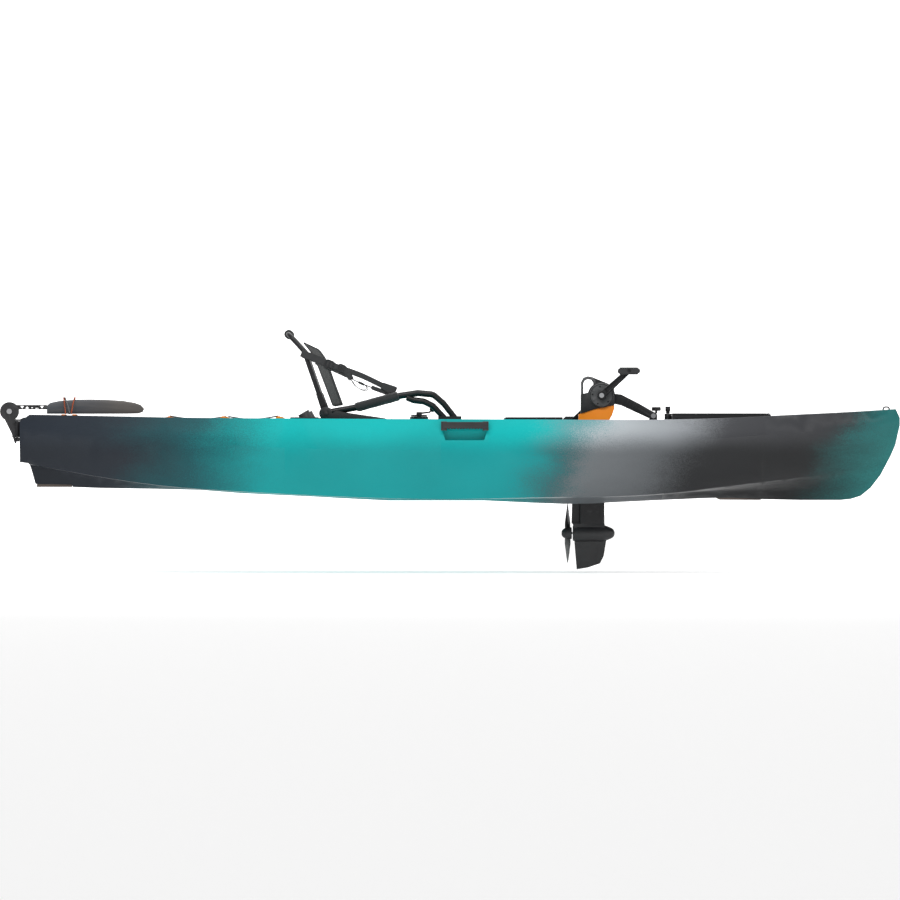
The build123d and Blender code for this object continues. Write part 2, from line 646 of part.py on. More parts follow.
def steering_lines():
    """The two lines from the head's horns to the deck."""
    lines = []
    for side in (-1, 1):
        start = (STEER_X - 6, side * 24.0, SPINE_Z[1] + 0.5)
        end = (STEER_X + 32, side * 30.0, 344.5)
        lines.append(rod(start, end, 2.0))
    return lines


def rudder_tiedown():
    """The cord over the stowed blade, from a deck eye each side."""
    cords = []
    for x in (BLADE_X[0] + 71.0, BLADE_X[0] + 116.0):
        for side in (-1, 1):
            path = FilletPolyline((x, side * 60, 360), (x + 6, side * 14, 424), (x + 6, side * 1, 427), radius=5)
            cords.append(swept(path, 2.5))
    return cords


def tiedown_eyes(skin):
    eyes = []
    for x in (BLADE_X[0] + 71.0, BLADE_X[0] + 116.0):
        for side in (-1, 1):
            eyes.append(block(x - 8, x + 8, side * 60 - 6, side * 60 + 6, 340.0, 358.5) - skin)
    return eyes


# ------------------------------------------------------------------ steering lever
def steering_base(skin):
    return (post(LEVER, LEVER_R, 325.0, 350.0) - skin) + post(LEVER, 6.0, 349.0, 366.0)


def steering_lever():
    """The turning hub and the bent arm that reaches forward to the knob."""
    x, y = LEVER
    hub = post(LEVER, LEVER_R - 5, 350.5, 358.0) + post(LEVER, 12.0, 357.0, 370.0)
    hub = hub - post(LEVER, 6.0 + RUN, 345.0, 368.0)
    arm = plate_xz([(x - 8, 359), (x + 46, 366), (x + 52, 372), (x + 49, 376), (x + 40, 372), (x - 8, 367)],
                   y - 7, y + 7)
    return hub + (arm - post(LEVER, 9.0, 350.0, 372.0))


def steering_knob():
    x, y = LEVER
    return Pos(x + 56, y, 382.0) * Sphere(12.5)


# ------------------------------------------------------------------ pedal drive
BOUNDARY = ((489.0, 357.5), (556.1, 379.8), (652.0, 399.8))  # lower edge of the casing


def casing_form(inset):
    """The casing's outer form: a round body over a slanted lower edge, with a square rear shoulder."""
    x, z = CRANK
    (xa, za), (xb, zb), (xc, zc) = BOUNDARY
    body = outline_xz([(501, za + 4), (xb, zb), (640.5, 397.5), (x + CASE_R, z), (x, z), (530, 449), (501, 441)])
    body = body + Pos(x, 0, z) * (Plane.XZ * Circle(CASE_R))
    below = outline_xz([(xa - 20, za - 6.6), (xb, zb), (xc + 20, zc + 4.2), (xc + 20, 200), (xa - 20, 200)])
    body = body - below
    if inset:
        body = offset(body, -inset, kind=Kind.INTERSECTION)
    half = CASE_HALF - inset
    return extrude(body, amount=half, dir=(0, -1, 0)) + extrude(body, amount=half, dir=(0, 1, 0))


def casing_half(form, hollow):
    """The starboard clamshell, with its bearing seat and screw bosses."""
    x, z = CRANK
    half = (form - hollow) & block(400, 700, -100, 0, 200, 600)
    ring = disc(CRANK, BEARING_R + 5, -CASE_HALF, -CASE_HALF + 14) & form
    half = half + ring
    half = half - disc(CRANK, BEARING_R + 0.05, -CASE_HALF - 1, -CASE_HALF + 20)
    return half - post((x, 0), DRIVE_SHAFT_R + RUN, 370.0, 393.0)


def bearings():
    """A bearing ring in each casing half."""
    ring = disc(CRANK, BEARING_R, -CASE_HALF - 2, -CASE_HALF + 12)
    return both(ring - disc(CRANK, SHAFT_R + RUN, -CASE_HALF - 3, -CASE_HALF + 13))


def bearing_covers():
    """The round cover on each side, with six screw heads."""
    x, z = CRANK
    cover = disc(CRANK, COVER_R, -CASE_HALF - 5, -CASE_HALF)
    cover = chamfer(cover.faces().sort_by(Axis.Y)[0].edges(), 2.0)
    cover = cover - disc(CRANK, BEARING_R + 0.5, -CASE_HALF - 6, -CASE_HALF + 1)
    heads = []
    for i in range(6):
        turn = math.radians(60 * i + 30)
        place = (x + 39 * math.cos(turn), z + 39 * math.sin(turn))
        heads.append(disc(place, 4.0, -CASE_HALF - 7, -CASE_HALF - 5))
    return both(cover + heads)


def drive_cowl(form):
    """The sleeve round the leg's top, open at both ends."""
    (xa, za), (xb, zb), (xc, zc) = BOUNDARY
    z0 = COWL_Z
    outer = [(xa, z0), (612, z0), (619.4, 335), (630, 352.7), (640, 382), (640, zc - 2.6), (xb, zb), (xa + 3, za + 1)]
    inner = [(xa + COWL_WALL + 1, z0 - 5), (608.5, z0 - 5), (616, 335), (626.5, 353), (636, 383),
             (636, 420), (xa + COWL_WALL + 3, 420)]
    sleeve = plate_xz(outer, -COWL_HALF, COWL_HALF)
    sleeve = sleeve - plate_xz(inner, -COWL_HALF + COWL_WALL, COWL_HALF - COWL_WALL)
    return sleeve - form


def drive_leg(form):
    """The hollow leg from the casing down to the gearcase."""
    aft, fore = LEG_X
    low = [(aft, LEG_Z), (fore, LEG_Z), (fore, 225.0), (aft, 225.0)]
    high = [(aft + 5, 225.0), (fore, 225.0), (fore, 400.0), (aft + 5, 400.0)]
    leg = plate_xz(low, -LEG_HALF, LEG_HALF)
    leg = fillet(leg.edges().filter_by(Axis.Z), 12.0)
    leg = leg + (plate_xz(high, -LEG_HALF, LEG_HALF) - form - block(400, 700, -90, 90, 399, 420))
    top = plate_xz([(480, 352), (556.1, 379.8), (660, 401.5), (660, 450), (480, 450)], -60, 60)
    return leg - top - post((CRANK[0], 0), DRIVE_SHAFT_R + RUN, LEG_Z - 1, 420.0)


def leg_fairing():
    """The thin trailing edge behind the leg."""
    return plate_xz([(FAIRING_X, LEG_Z), (LEG_X[0], LEG_Z), (LEG_X[0], 222.0), (FAIRING_X + 6, 222.0)], -8, 8)


def gearcase():
    """The torpedo with its neck and skeg, in two halves, hollow round the lower gears."""
    aft, fore = POD_X
    nose = 60.0
    profile = Plane.XZ * (
        Polyline((aft, POD_Z), (aft, POD_Z + POD_R - 4), (aft + 20, POD_Z + POD_R), (fore - nose, POD_Z + POD_R))
        + Spline((fore - nose, POD_Z + POD_R), (fore - 22, POD_Z + POD_R * 0.72), (fore, POD_Z),
                 tangents=((1, 0), (0, -1)))
        + Line((fore, POD_Z), (aft, POD_Z))
    )
    pod = revolve(make_face(profile), Axis((0, 0, POD_Z), (1, 0, 0)), 360)
    neck = plate_xz([(aft + 12, POD_Z), (LEG_X[1] + 6, POD_Z), (LEG_X[1], LEG_Z), (LEG_X[0] - 28, LEG_Z)],
                    -LEG_HALF, LEG_HALF)
    z = POD_Z
    skeg = plate_xz([(474.9, z), (474.9, -172.8), (484, -287), (532, -279), (582, -262), (597, -231), (612, z)],
                    -5, 5)
    x = CRANK[0]
    room = block(x - 30, x + 24, -23, 23, POD_Z - 10, POD_Z + 16)
    body = pod + neck + skeg - room
    body = body - post((x, 0), DRIVE_SHAFT_R + RUN, POD_Z, LEG_Z + 5)
    body = body - rod((aft - 5, 0, POD_Z), (x - 20, 0, POD_Z), PROP_SHAFT_R + RUN)
    return [body & block(400, 700, -100, 0, -300, -90), body & block(400, 700, 0, 100, -300, -90)]


ARM_EDGE = ((600.0, 449.0), (669.0, 441.0), (745.0, 402.0), (PIVOT[0] + 4, PIVOT[1] + EAR_R - 1))
ARM_BASE = ((PIVOT[0] - 4, PIVOT[1] - EAR_R + 0.5), (670.0, 396.0), (641.0, 402.0), (600.0, 410.0))


def tilt_arm(form):
    """The ribbed arm from the casing to the tilt pin: a channel that ends in two ears."""
    outline = list(ARM_EDGE) + list(ARM_BASE)
    arm = plate_xz(outline, -EAR_Y[1], EAR_Y[1]) + disc(PIVOT, EAR_R, -EAR_Y[1], EAR_Y[1])
    pocket = plate_xz([(648, 380), (648, 436), (669, 434), (740, 397.5), (740, 430), (900, 430), (900, 300),
                       (648, 300)], -EAR_Y[0], EAR_Y[0])
    ribs = [plate_xz([(x, 405 - (x - 650) * 0.42), (x + 4, 403 - (x - 650) * 0.42), (x + 4, 438 - (x - 650) * 0.42),
                      (x, 440 - (x - 650) * 0.42)], -EAR_Y[0], EAR_Y[0]) for x in (668.0, 692.0, 716.0)]
    arm = arm - pocket + ribs
    return arm - form - disc(PIVOT, PIVOT_R + RUN, -60, 60)


def tilt_bracket():
    """The block on the console that the drive tilts on."""
    x, z = PIVOT
    base = block(x - 32, x + 34, -EAR_Y[0] + 2, EAR_Y[0] - 2, CONSOLE_Z, CONSOLE_Z + 6)
    boss = plate_xz([(x - EAR_R, CONSOLE_Z + 5), (x + EAR_R, CONSOLE_Z + 5), (x + EAR_R, z), (x - EAR_R, z)],
                    -EAR_Y[0] + 2, EAR_Y[0] - 2)
    boss = boss + disc(PIVOT, EAR_R, -EAR_Y[0] + 2, EAR_Y[0] - 2)
    knob_seat = post((x + 13, 0), 5.0 + RUN, z + PIVOT_R + 4, z + 40)
    return base + boss - disc(PIVOT, PIVOT_R + 0.05, -60, 60) - knob_seat


def tilt_pin():
    reach = EAR_Y[1] + 1.5
    pin = disc(PIVOT, PIVOT_R, -reach, reach)
    return pin + [disc(PIVOT, 10.0, side * reach, side * (reach + 5)) for side in (-1, 1)]


def lock_knob():
    """The turning knob that clamps the drive, standing in the bracket's top."""
    x = PIVOT[0] + 13
    knob = post((x, 0), 19.0, 373.0, 389.0)
    knob = fillet(knob.edges().filter_by(GeomType.CIRCLE), 3.0)
    for i in range(8):
        turn = math.radians(45 * i)
        knob = knob - post((x + 21 * math.cos(turn), 21 * math.sin(turn)), 4.0, 370.0, 392.0)
    return knob + post((x, 0), 5.0, PIVOT[1] + PIVOT_R + 4.5, 374.0)


def drive_handle(form):
    """The carry loop on top of the casing."""
    outer = plate_xz([(502, 436), (502, 492), (512, 511), (530, 517), (549, 514), (562, 500), (566, 470)], -14, 14)
    inner = plate_xz([(512, 430), (512, 488), (519, 500), (531, 505), (545, 502), (553, 491), (556, 430)], -15, 15)
    return outer - inner - form


def crank_gear():
    """The face gear on the crank shaft: stub teeth towards the drive shaft."""
    x, z = CRANK
    face_y = UPPER_PITCH + 1.4
    gear = disc(CRANK, CRANK_PITCH + 3, face_y, face_y + 6) + disc(CRANK, 18.0, face_y, face_y + 14)
    tooth = Pos(CRANK_PITCH, 0, 0) * Box(4.0, 2.4, 2.0)
    teeth = []
    for i in range(CRANK_TEETH):
        turned = Rot(0, 360.0 * i / CRANK_TEETH, 0) * tooth
        teeth.append(Pos(x, face_y - 1.0, z) * turned)
    return gear + teeth - disc(CRANK, SHAFT_R + 0.02, 0, 60)


def pinion(teeth, outer, core, width, length):
    """A small gear along Z with its teeth half a pitch off the X axis."""
    gear = Cylinder(core, length)
    tooth = Pos((core - 0.5 + outer) / 2, 0, 0) * Box(outer - core + 0.5, width, length)
    return gear + [Rot(0, 0, 360.0 * (i + 0.5) / teeth) * tooth for i in range(teeth)]


def drive_shaft():
    """The upright shaft with its upper pinion."""
    x, z = CRANK
    shaft = post((x, 0), DRIVE_SHAFT_R, POD_Z + PROP_PITCH + 3, z - CRANK_PITCH + 6)
    upper = Pos(x, 0, z - CRANK_PITCH) * pinion(UPPER_TEETH, UPPER_PITCH + 1, UPPER_PITCH - 1.6, 2.0, 6.0)
    return shaft + upper


def lower_gear():
    """The face gear at the foot of the drive shaft, teeth down."""
    x = CRANK[0]
    face_z = POD_Z + PROP_PITCH + 0.8
    gear = post((x, 0), LOWER_PITCH + 2.0, face_z, face_z + 4)
    tooth = Pos(LOWER_PITCH, 0, 0) * Box(3.0, 1.0, 1.6)
    teeth = [Pos(x, 0, face_z - 0.4) * (Rot(0, 0, 360.0 * i / LOWER_TEETH) * tooth) for i in range(LOWER_TEETH)]
    return gear + teeth - post((x, 0), DRIVE_SHAFT_R + 0.02, POD_Z, LEG_Z)


def prop_shaft():
    """The propeller shaft with its pinion."""
    mesh_x = CRANK[0] - LOWER_PITCH
    shaft = rod((HUB_X[0] + 6, 0, POD_Z), (mesh_x + 6, 0, POD_Z), PROP_SHAFT_R)
    gear = Rot(0, 90, 0) * pinion(PROP_TEETH, PROP_PITCH + 0.5, PROP_PITCH - 0.9, 1.0, 3.0)
    return shaft + Pos(mesh_x, 0, POD_Z) * gear


def propeller():
    """The hub and two twisted blades, upright at rest."""
    hub = rod((HUB_X[0] + 8, 0, POD_Z), (HUB_X[1], 0, POD_Z), HUB_R) + Pos(HUB_X[0] + 8, 0, POD_Z) * (
        Rot(0, -90, 0) * Cone(HUB_R, HUB_R - 10, 8, align=(Align.CENTER, Align.CENTER, Align.MIN)))
    blades = []
    for turn in (0, 180):
        sections = []
        for radius, chord, pitch, thick in ((18, 46, 34, 7), (55, 52, 24, 5), (95, 44, 16, 4), (PROP_R, 18, 10, 2.5)):
            plane = Plane(origin=(0, 0, radius), x_dir=(math.sin(math.radians(pitch)),
                                                        math.cos(math.radians(pitch)), 0), z_dir=(0, 0, 1))
            sections.append(plane * Rectangle(chord, thick))
        blade = loft(sections, ruled=True)
        blades.append(Pos(PROP_X, 0, POD_Z) * (Rot(turn, 0, 0) * blade))
    body = hub + blades
    return body - rod((HUB_X[0] + 6, 0, POD_Z), (HUB_X[1] + 1, 0, POD_Z), PROP_SHAFT_R + 0.02)


def crank_shaft():
    return disc(CRANK, SHAFT_R, -ARM_Y[1], ARM_Y[1])


def crank_end(side):
    """X, Z of a pedal axis; the port arm points the other way."""
    turn = math.radians(CRANK_ANGLE)
    reach = -side * CRANK_LENGTH
    return CRANK[0] + reach * math.cos(turn), CRANK[1] + reach * math.sin(turn)


def crank_arm(side):
    """A tapered arm with a pedal spindle; side is -1 to starboard."""
    y0, y1 = sorted((side * ARM_Y[0], side * ARM_Y[1]))
    tip = crank_end(side)
    turn = math.degrees(math.atan2(tip[1] - CRANK[1], tip[0] - CRANK[0]))
    big, small = ARM_WIDTH[0] / 2, ARM_WIDTH[1] / 2
    plane = Pos(*[CRANK[0], 0, CRANK[1]]) * Rot(0, -turn, 0)
    bar = plane * plate_xz([(0, -big), (CRANK_LENGTH, -small), (CRANK_LENGTH, small), (0, big)], y0, y1)
    arm = bar + disc(CRANK, big + 3, y0, y1) + disc(tip, small, y0, y1)
    arm = arm - disc(CRANK, SHAFT_R + 0.02, y0 - 1, y1 + 1)
    outer = y1 if side > 0 else y0
    panel = plane * plate_xz([(28, -big + 7), (CRANK_LENGTH - 22, -small + 6), (CRANK_LENGTH - 22, small - 6),
                              (28, big - 7)], *sorted((outer, outer - side * 4)))
    return arm - panel


def pedal_spindle(side):
    tip = crank_end(side)
    return disc(tip, SPINDLE_R, side * ARM_Y[1], side * (PEDAL_Y[1] - 4))


def pedal(side):
    """A ribbed pedal round its spindle."""
    x, z = crank_end(side)
    y0, y1 = sorted((side * PEDAL_Y[0], side * PEDAL_Y[1]))
    length, height = PEDAL_SIZE
    core = block(x - length / 2, x + length / 2, y0, y1, z - height / 2 + 4, z + height / 2 - 4)
    core = fillet(core.edges().filter_by(Axis.Y), 8.0)
    core = core + disc((x, z), height / 2, y0, y1)
    windows = [block(x + a, x + a + 18, y0 + 14, y1 - 14, z - 40, z + 40) for a in (-38, 20)]
    ribs = []
    for sign in (-1, 1):
        for i in range(5):
            rib_y = y0 + 8 + i * (y1 - y0 - 22) / 4
            z0, z1 = sorted((z + sign * (height / 2 - 6), z + sign * height / 2))
            ribs.append(block(x - length / 2 + 8, x + length / 2 - 8, rib_y, rib_y + 6, z0, z1))
    body = core - windows + ribs
    return body - disc((x, z), SPINDLE_R + RUN, y0 - 2, y1 + 2)


# ------------------------------------------------------------------ seat
PAN_BACK = (-440.0, 386.0)
PAN_FRONT = (-250.0, 436.0)


def seat_side():
    """The starboard side: one tube from the hinge along the pan to the front foot, with a second leg welded on."""
    long_points = [(HINGE[0] + 24, 369), PAN_BACK, PAN_FRONT, (-176, 447), (-113, 441), (-70, 404), (-20, 340)]
    short_points = [(-222, 428), (-195, 417), (-151, 412), (-113, 393), (-64, 340)]
    return swept(tube_path(long_points, -RAIL_Y, 30.0), RAIL_R) + swept(tube_path(short_points, -RAIL_Y, 25.0), RAIL_R)


def seat_hinge_block(side):
    """The starboard hinge drum and the wedge foot it stands on, socketed for the side tube."""
    low = SHELF_Z + SEAT_GAP
    wedge = plate_xz([(-538, low), (-309, low), (-309, 341), (-480, 366), (-512, 374), (-545, 352)],
                     -RAIL_Y - 15, -RAIL_Y + RAIL_R)
    drum = disc(HINGE, HINGE_R, -RAIL_Y - 15, -RAIL_Y + RAIL_R)
    return wedge + drum - disc(HINGE, PIN_R + RUN / 2, -RAIL_Y - 20, -RAIL_Y + 20) - side


def seat_foot(side):
    """The starboard rubber shoe under both front legs."""
    return block(-92, 4, -RAIL_Y - 16, -RAIL_Y + 16, SHELF_Z + SEAT_GAP, 350.0) - side


def seat_cross_tubes(side):
    """Two tubes between the sides, at the pan's ends."""
    tubes = [rod((x, -RAIL_Y, z), (x, RAIL_Y, z), 9.0) for x, z in ((-462.0, 382.0), (-176.0, 447.0))]
    return [tube - side - port(side) for tube in tubes]


def seat_pan():
    """The mesh pan slung between the sleeves."""
    (xa, za), (xb, zb) = PAN_BACK, PAN_FRONT
    half = RAIL_Y - SLEEVE_R - CLEAR
    drop = 10.0
    return plate_xz([(xa + 14, za - 5), (xb - 14, zb - 13), (xb - 14, zb - 13 + drop), (xa + 14, za - 5 + drop)],
                    -half, half)


def seat_sleeves():
    """The padded sleeve round each side tube."""
    (xa, za), (xb, zb) = PAN_BACK, PAN_FRONT
    run = Vector(xb - xa, 0, zb - za).normalized()
    start = Vector(xa, -RAIL_Y, za) + run * 14
    end = Vector(xb, -RAIL_Y, zb) - run * 22
    sleeve = rod(tuple(start), tuple(end), SLEEVE_R) - rod(tuple(start - run), tuple(end + run), RAIL_R + CLEAR)
    return both(sleeve)


def back_direction():
    run = Vector(BACK_TOP[0] - HINGE[0], 0, BACK_TOP[1] - HINGE[1])
    return run.normalized()


def back_frame():
    """The bent tube up one side, across the top and down the other."""
    run = back_direction()
    foot = Vector(HINGE[0], 0, HINGE[1]) + run * (HINGE_R + 14)
    points = [(foot.X, -BACK_Y, foot.Z), (BACK_TOP[0], -BACK_Y, BACK_TOP[1]), (GRIP_TOP[0], -BACK_Y + 20, GRIP_TOP[1]),
              (GRIP_TOP[0], BACK_Y - 20, GRIP_TOP[1]), (BACK_TOP[0], BACK_Y, BACK_TOP[1]), (foot.X, BACK_Y, foot.Z)]
    path = FilletPolyline(*points, radius=40.0)
    return swept(path, BACK_R)


def back_grip():
    """The foam grip round the top of the back."""
    x, z = GRIP_TOP
    grip = rod((x, -BACK_Y + 66, z), (x, BACK_Y - 66, z), 19.0)
    return grip - rod((x, -BACK_Y, z), (x, BACK_Y, z), BACK_R + CLEAR)


def back_bracket():
    """The starboard plate that joins the back tube to the hinge pin, with two bolts."""
    run = back_direction()
    side = Vector(run.Z, 0, -run.X)
    centre = Vector(HINGE[0], 0, HINGE[1])
    y1 = -BACK_Y - BACK_R - 0.0
    y0 = y1 - 4.0
    corners = []
    for along, across in ((0, -14), (HINGE_R + 62, -12), (HINGE_R + 62, 12), (0, 14)):
        place = centre + run * along + side * across
        corners.append((place.X, place.Z))
    plate = plate_xz(corners, y0, y1) + disc(HINGE, 14.0, y0, y1)
    bolts = []
    for along in (HINGE_R + 26, HINGE_R + 50):
        place = centre + run * along
        bolts.append(disc((place.X, place.Z), 6.0, y0 - 4, y0))
    return plate + bolts - disc(HINGE, PIN_R + RUN, y0 - 5, y1 + 5)


def hinge_pins():
    """The starboard recline pin."""
    outer = -RAIL_Y - 15
    inner = -BACK_Y - BACK_R
    return disc(HINGE, PIN_R, outer, inner + 6) + disc(HINGE, 9.0, outer - 5, outer) + disc(HINGE, 8.0, inner + 1, inner + 6)


def back_panel():
    """The mesh stretched between the back tubes."""
    run = back_direction()
    side = Vector(run.Z, 0, -run.X)
    centre = Vector(HINGE[0], 0, HINGE[1])
    corners = []
    for along, across in ((70, 2), (262, 2), (262, 12), (70, 12)):
        place = centre + run * along + side * across
        corners.append((place.X, place.Z))
    half = BACK_Y - BACK_R - CLEAR - 0.2
    return plate_xz(corners, -half, half)


def back_wing():
    """The starboard mesh wing in front of the back tube."""
    outline = [(-640, 645), (-578, 610), (-560, 577), (-498, 410), (-530, 402), (-605, 590)]
    return plate_xz(outline, -BACK_Y - BACK_R - 3.5, -BACK_Y - BACK_R - 1)


def recline_strap():
    """The starboard strap from the back tube down to the seat side, flat webbing on edge."""
    outline = [(-655, 622), (-584, 588), (-325, 490), (-250, 470), (-262, 447.7), (-321, 432.2), (-331, 470),
               (-592, 567), (-662, 601)]
    return plate_xz(outline, -BACK_Y - BACK_R - 6.5, -BACK_Y - BACK_R - 4)


# ------------------------------------------------------------------ all nodes
def main():
    skin = hull_skin(0.0)
    save("hull", hull_bays(hull(skin)))
    save("hatch_coaming", hatch_coaming(skin), latch_post(skin))
    save("hatch_gasket", hatch_gasket())
    save("hatch_lid", hatch_lid())
    save("hatch_latch", hatch_latch())
    stern, bow = skid_plates(skin)
    save("skid_plates", stern, bow)
    save("side_handles", both(carry_handle(skin)))
    save("bow_carry_loop", bow_loop(skin))
    save("accessory_tracks", both(accessory_track(skin)))
    save("rod_holders", both(rod_holder(skin)))
    save("foot_pads", both(foot_pad()))
    save("deck_hooks", deck_hooks(skin), tiedown_eyes(skin))
    save("tank_bungee", tank_bungee())
    save("deck_fasteners", deck_screws(), hatch_pins())

    save("rudder_bracket", rudder_bracket())
    save("steering_pin", steering_pin())
    save("rudder_head", rudder_head())
    save("rudder_axle", rudder_axle())
    save("rudder_arm", rudder_arm())
    save("rudder_blade", rudder_blade())
    save("steering_lines", steering_lines())
    save("rudder_tiedown", rudder_tiedown())
    save("steering_base", steering_base(skin))
    save("steering_lever", steering_lever())
    save("steering_knob", steering_knob() - steering_lever())

    form = casing_form(0.0)
    shell = casing_half(form, casing_form(CASE_WALL))
    save("drive_casing_right", shell)
    save("drive_casing_left", port(shell))
    save("crank_bearings", bearings())
    save("bearing_covers", bearing_covers())
    save("drive_cowl", drive_cowl(form))
    save("drive_leg", drive_leg(form), leg_fairing())
    save("gearcase", gearcase())
    save("tilt_arm", tilt_arm(form))
    save("drive_handle", drive_handle(form))
    save("tilt_bracket", tilt_bracket())
    save("tilt_pin", tilt_pin())
    save("lock_knob", lock_knob())
    save("crank_shaft", crank_shaft())
    save("crank_gear", crank_gear())
    for name, side in (("right", -1), ("left", 1)):
        save(f"crank_arm_{name}", crank_arm(side), pedal_spindle(side))
        save(f"pedal_{name}", pedal(side))
    save("drive_shaft", drive_shaft(), lower_gear())
    save("prop_shaft", prop_shaft())
    save("propeller", propeller())

    side = seat_side()
    save("seat_side_right", side)
    save("seat_side_left", port(side))
    save("seat_cross_tubes", seat_cross_tubes(side))
    save("seat_hinges", both(seat_hinge_block(side)), both(hinge_pins()))
    save("seat_feet", both(seat_foot(side)))
    save("seat_pan", seat_pan())
    save("seat_sleeves", seat_sleeves())
    save("back_frame", back_frame())
    save("back_grip", back_grip())
    save("back_brackets", both(back_bracket()))
    save("back_panel", back_panel())
    save("back_wings", both(back_wing()))
    save("recline_straps", both(recline_strap()))


main()
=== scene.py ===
"""Pedal kayak: the looks. Metres, +X to the bow, +Y to port, +Z up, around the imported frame."""
import json
import math

import bmesh
import bpy
import numpy as np
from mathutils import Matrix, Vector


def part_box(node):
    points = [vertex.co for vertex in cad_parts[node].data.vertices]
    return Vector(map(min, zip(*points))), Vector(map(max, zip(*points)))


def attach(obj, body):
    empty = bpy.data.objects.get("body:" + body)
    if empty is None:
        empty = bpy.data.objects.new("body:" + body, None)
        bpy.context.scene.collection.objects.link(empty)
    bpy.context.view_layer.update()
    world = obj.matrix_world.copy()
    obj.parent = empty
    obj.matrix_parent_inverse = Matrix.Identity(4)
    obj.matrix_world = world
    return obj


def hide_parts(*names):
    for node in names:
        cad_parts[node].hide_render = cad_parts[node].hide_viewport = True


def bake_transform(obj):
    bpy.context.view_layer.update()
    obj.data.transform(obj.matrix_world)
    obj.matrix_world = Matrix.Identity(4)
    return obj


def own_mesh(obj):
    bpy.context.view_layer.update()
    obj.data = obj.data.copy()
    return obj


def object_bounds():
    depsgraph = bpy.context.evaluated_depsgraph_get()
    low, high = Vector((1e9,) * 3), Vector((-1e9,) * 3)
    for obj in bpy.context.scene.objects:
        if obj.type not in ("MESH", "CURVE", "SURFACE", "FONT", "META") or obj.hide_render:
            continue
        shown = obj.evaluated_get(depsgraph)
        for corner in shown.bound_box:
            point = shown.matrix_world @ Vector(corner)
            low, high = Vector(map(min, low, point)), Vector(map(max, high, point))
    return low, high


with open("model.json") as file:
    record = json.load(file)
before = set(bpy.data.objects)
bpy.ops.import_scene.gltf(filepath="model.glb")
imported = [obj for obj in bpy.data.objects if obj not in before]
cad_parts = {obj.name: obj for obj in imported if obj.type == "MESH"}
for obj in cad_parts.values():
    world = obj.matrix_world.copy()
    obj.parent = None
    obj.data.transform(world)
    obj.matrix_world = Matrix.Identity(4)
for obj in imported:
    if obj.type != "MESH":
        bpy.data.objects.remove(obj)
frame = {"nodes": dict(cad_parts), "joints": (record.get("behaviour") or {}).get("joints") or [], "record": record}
CAD_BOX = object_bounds()
NODES = frame["nodes"]
JOINTS = {joint["name"]: joint for joint in frame["joints"]}
STERN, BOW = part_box("hull")[0].x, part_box("hull")[1].x
LENGTH = BOW - STERN


# ------------------------------------------------------------------ shader maths
class Value:
    """A shader socket that takes part in Python sums; each sum adds one Math node."""

    def __init__(self, shade, socket):
        self.shade = shade
        self.socket = socket

    def math(self, operation, *terms):
        return self.shade.node("ShaderNodeMath", {"operation": operation}, dict(enumerate(terms)))

    def __add__(self, other):
        return self.math("ADD", self, other)

    __radd__ = __add__

    def __sub__(self, other):
        return self.math("SUBTRACT", self, other)

    def __rsub__(self, other):
        return self.math("SUBTRACT", other, self)

    def __mul__(self, other):
        return self.math("MULTIPLY", self, other)

    __rmul__ = __mul__

    def __truediv__(self, other):
        return self.math("DIVIDE", self, other)

    def sine(self):
        return self.math("SINE", self)

    def absolute(self):
        return self.math("ABSOLUTE", self)

    def least(self, other):
        return self.math("MINIMUM", self, other)

    def most(self, other):
        return self.math("MAXIMUM", self, other)

    def step(self, low, high):
        """0 below low, 1 above high, smooth between."""
        return self.shade.node("ShaderNodeMapRange", {"interpolation_type": "SMOOTHSTEP"},
                               {"Value": self, "From Min": low, "From Max": high})


class Shade:
    def __init__(self, name):
        self.material = bpy.data.materials.new(name)
        self.material.use_nodes = True
        self.tree = self.material.node_tree
        self.shader = self.tree.nodes["Principled BSDF"]

    def node(self, kind, settings=None, sockets=None, output=0):
        """A node of a kind, with its settings made first, then the values or links of its sockets."""
        made = self.tree.nodes.new(kind)
        for key, value in (settings or {}).items():
            if key == "stops":
                elements = made.color_ramp.elements
                while len(elements) < len(value):
                    elements.new(0.5)
                for element, (place, colour) in zip(elements, value):
                    element.position = place
                    element.color = (*colour, 1.0)
            else:
                setattr(made, key, value)
        for key, value in (sockets or {}).items():
            self.feed(made.inputs[key], value)
        return Value(self, made.outputs[output])

    def feed(self, socket, value):
        if isinstance(value, Value):
            self.tree.links.new(value.socket, socket)
        elif isinstance(value, tuple) and len(value) == 3 and socket.type == "RGBA":
            socket.default_value = (*value, 1.0)
        else:
            socket.default_value = value

    def place(self):
        """Object coordinates as three values."""
        where = self.node("ShaderNodeTexCoord", output=3)
        return [self.node("ShaderNodeSeparateXYZ", None, {0: where}, output=i) for i in range(3)]

    def uv(self):
        where = self.node("ShaderNodeUVMap")
        return [self.node("ShaderNodeSeparateXYZ", None, {0: where}, output=i) for i in range(2)]

    def noise(self, scale, detail=2.0, stretch=(1, 1, 1), rough=0.5):
        where = self.node("ShaderNodeTexCoord", output=3)
        turned = self.node("ShaderNodeMapping", None, {"Vector": where, "Scale": stretch})
        return self.node("ShaderNodeTexNoise", None,
                         {"Vector": turned, "Scale": scale, "Detail": detail, "Roughness": rough})

    def mix(self, factor, first, second):
        """A colour between two colours; in 4.5 the colour sockets are 6 and 7, and output 2."""
        return self.node("ShaderNodeMix", {"data_type": "RGBA"}, {0: factor, 6: first, 7: second}, output=2)

    def bump(self, height, strength, distance):
        return self.node("ShaderNodeBump", None, {"Height": height, "Strength": strength, "Distance": distance})

    def finish(self, colour, roughness, **more):
        self.feed(self.shader.inputs["Base Color"], colour)
        self.feed(self.shader.inputs["Roughness"], roughness)
        for key, value in more.items():
            self.feed(self.shader.inputs[key.replace("_", " ")], value)
        return self.material


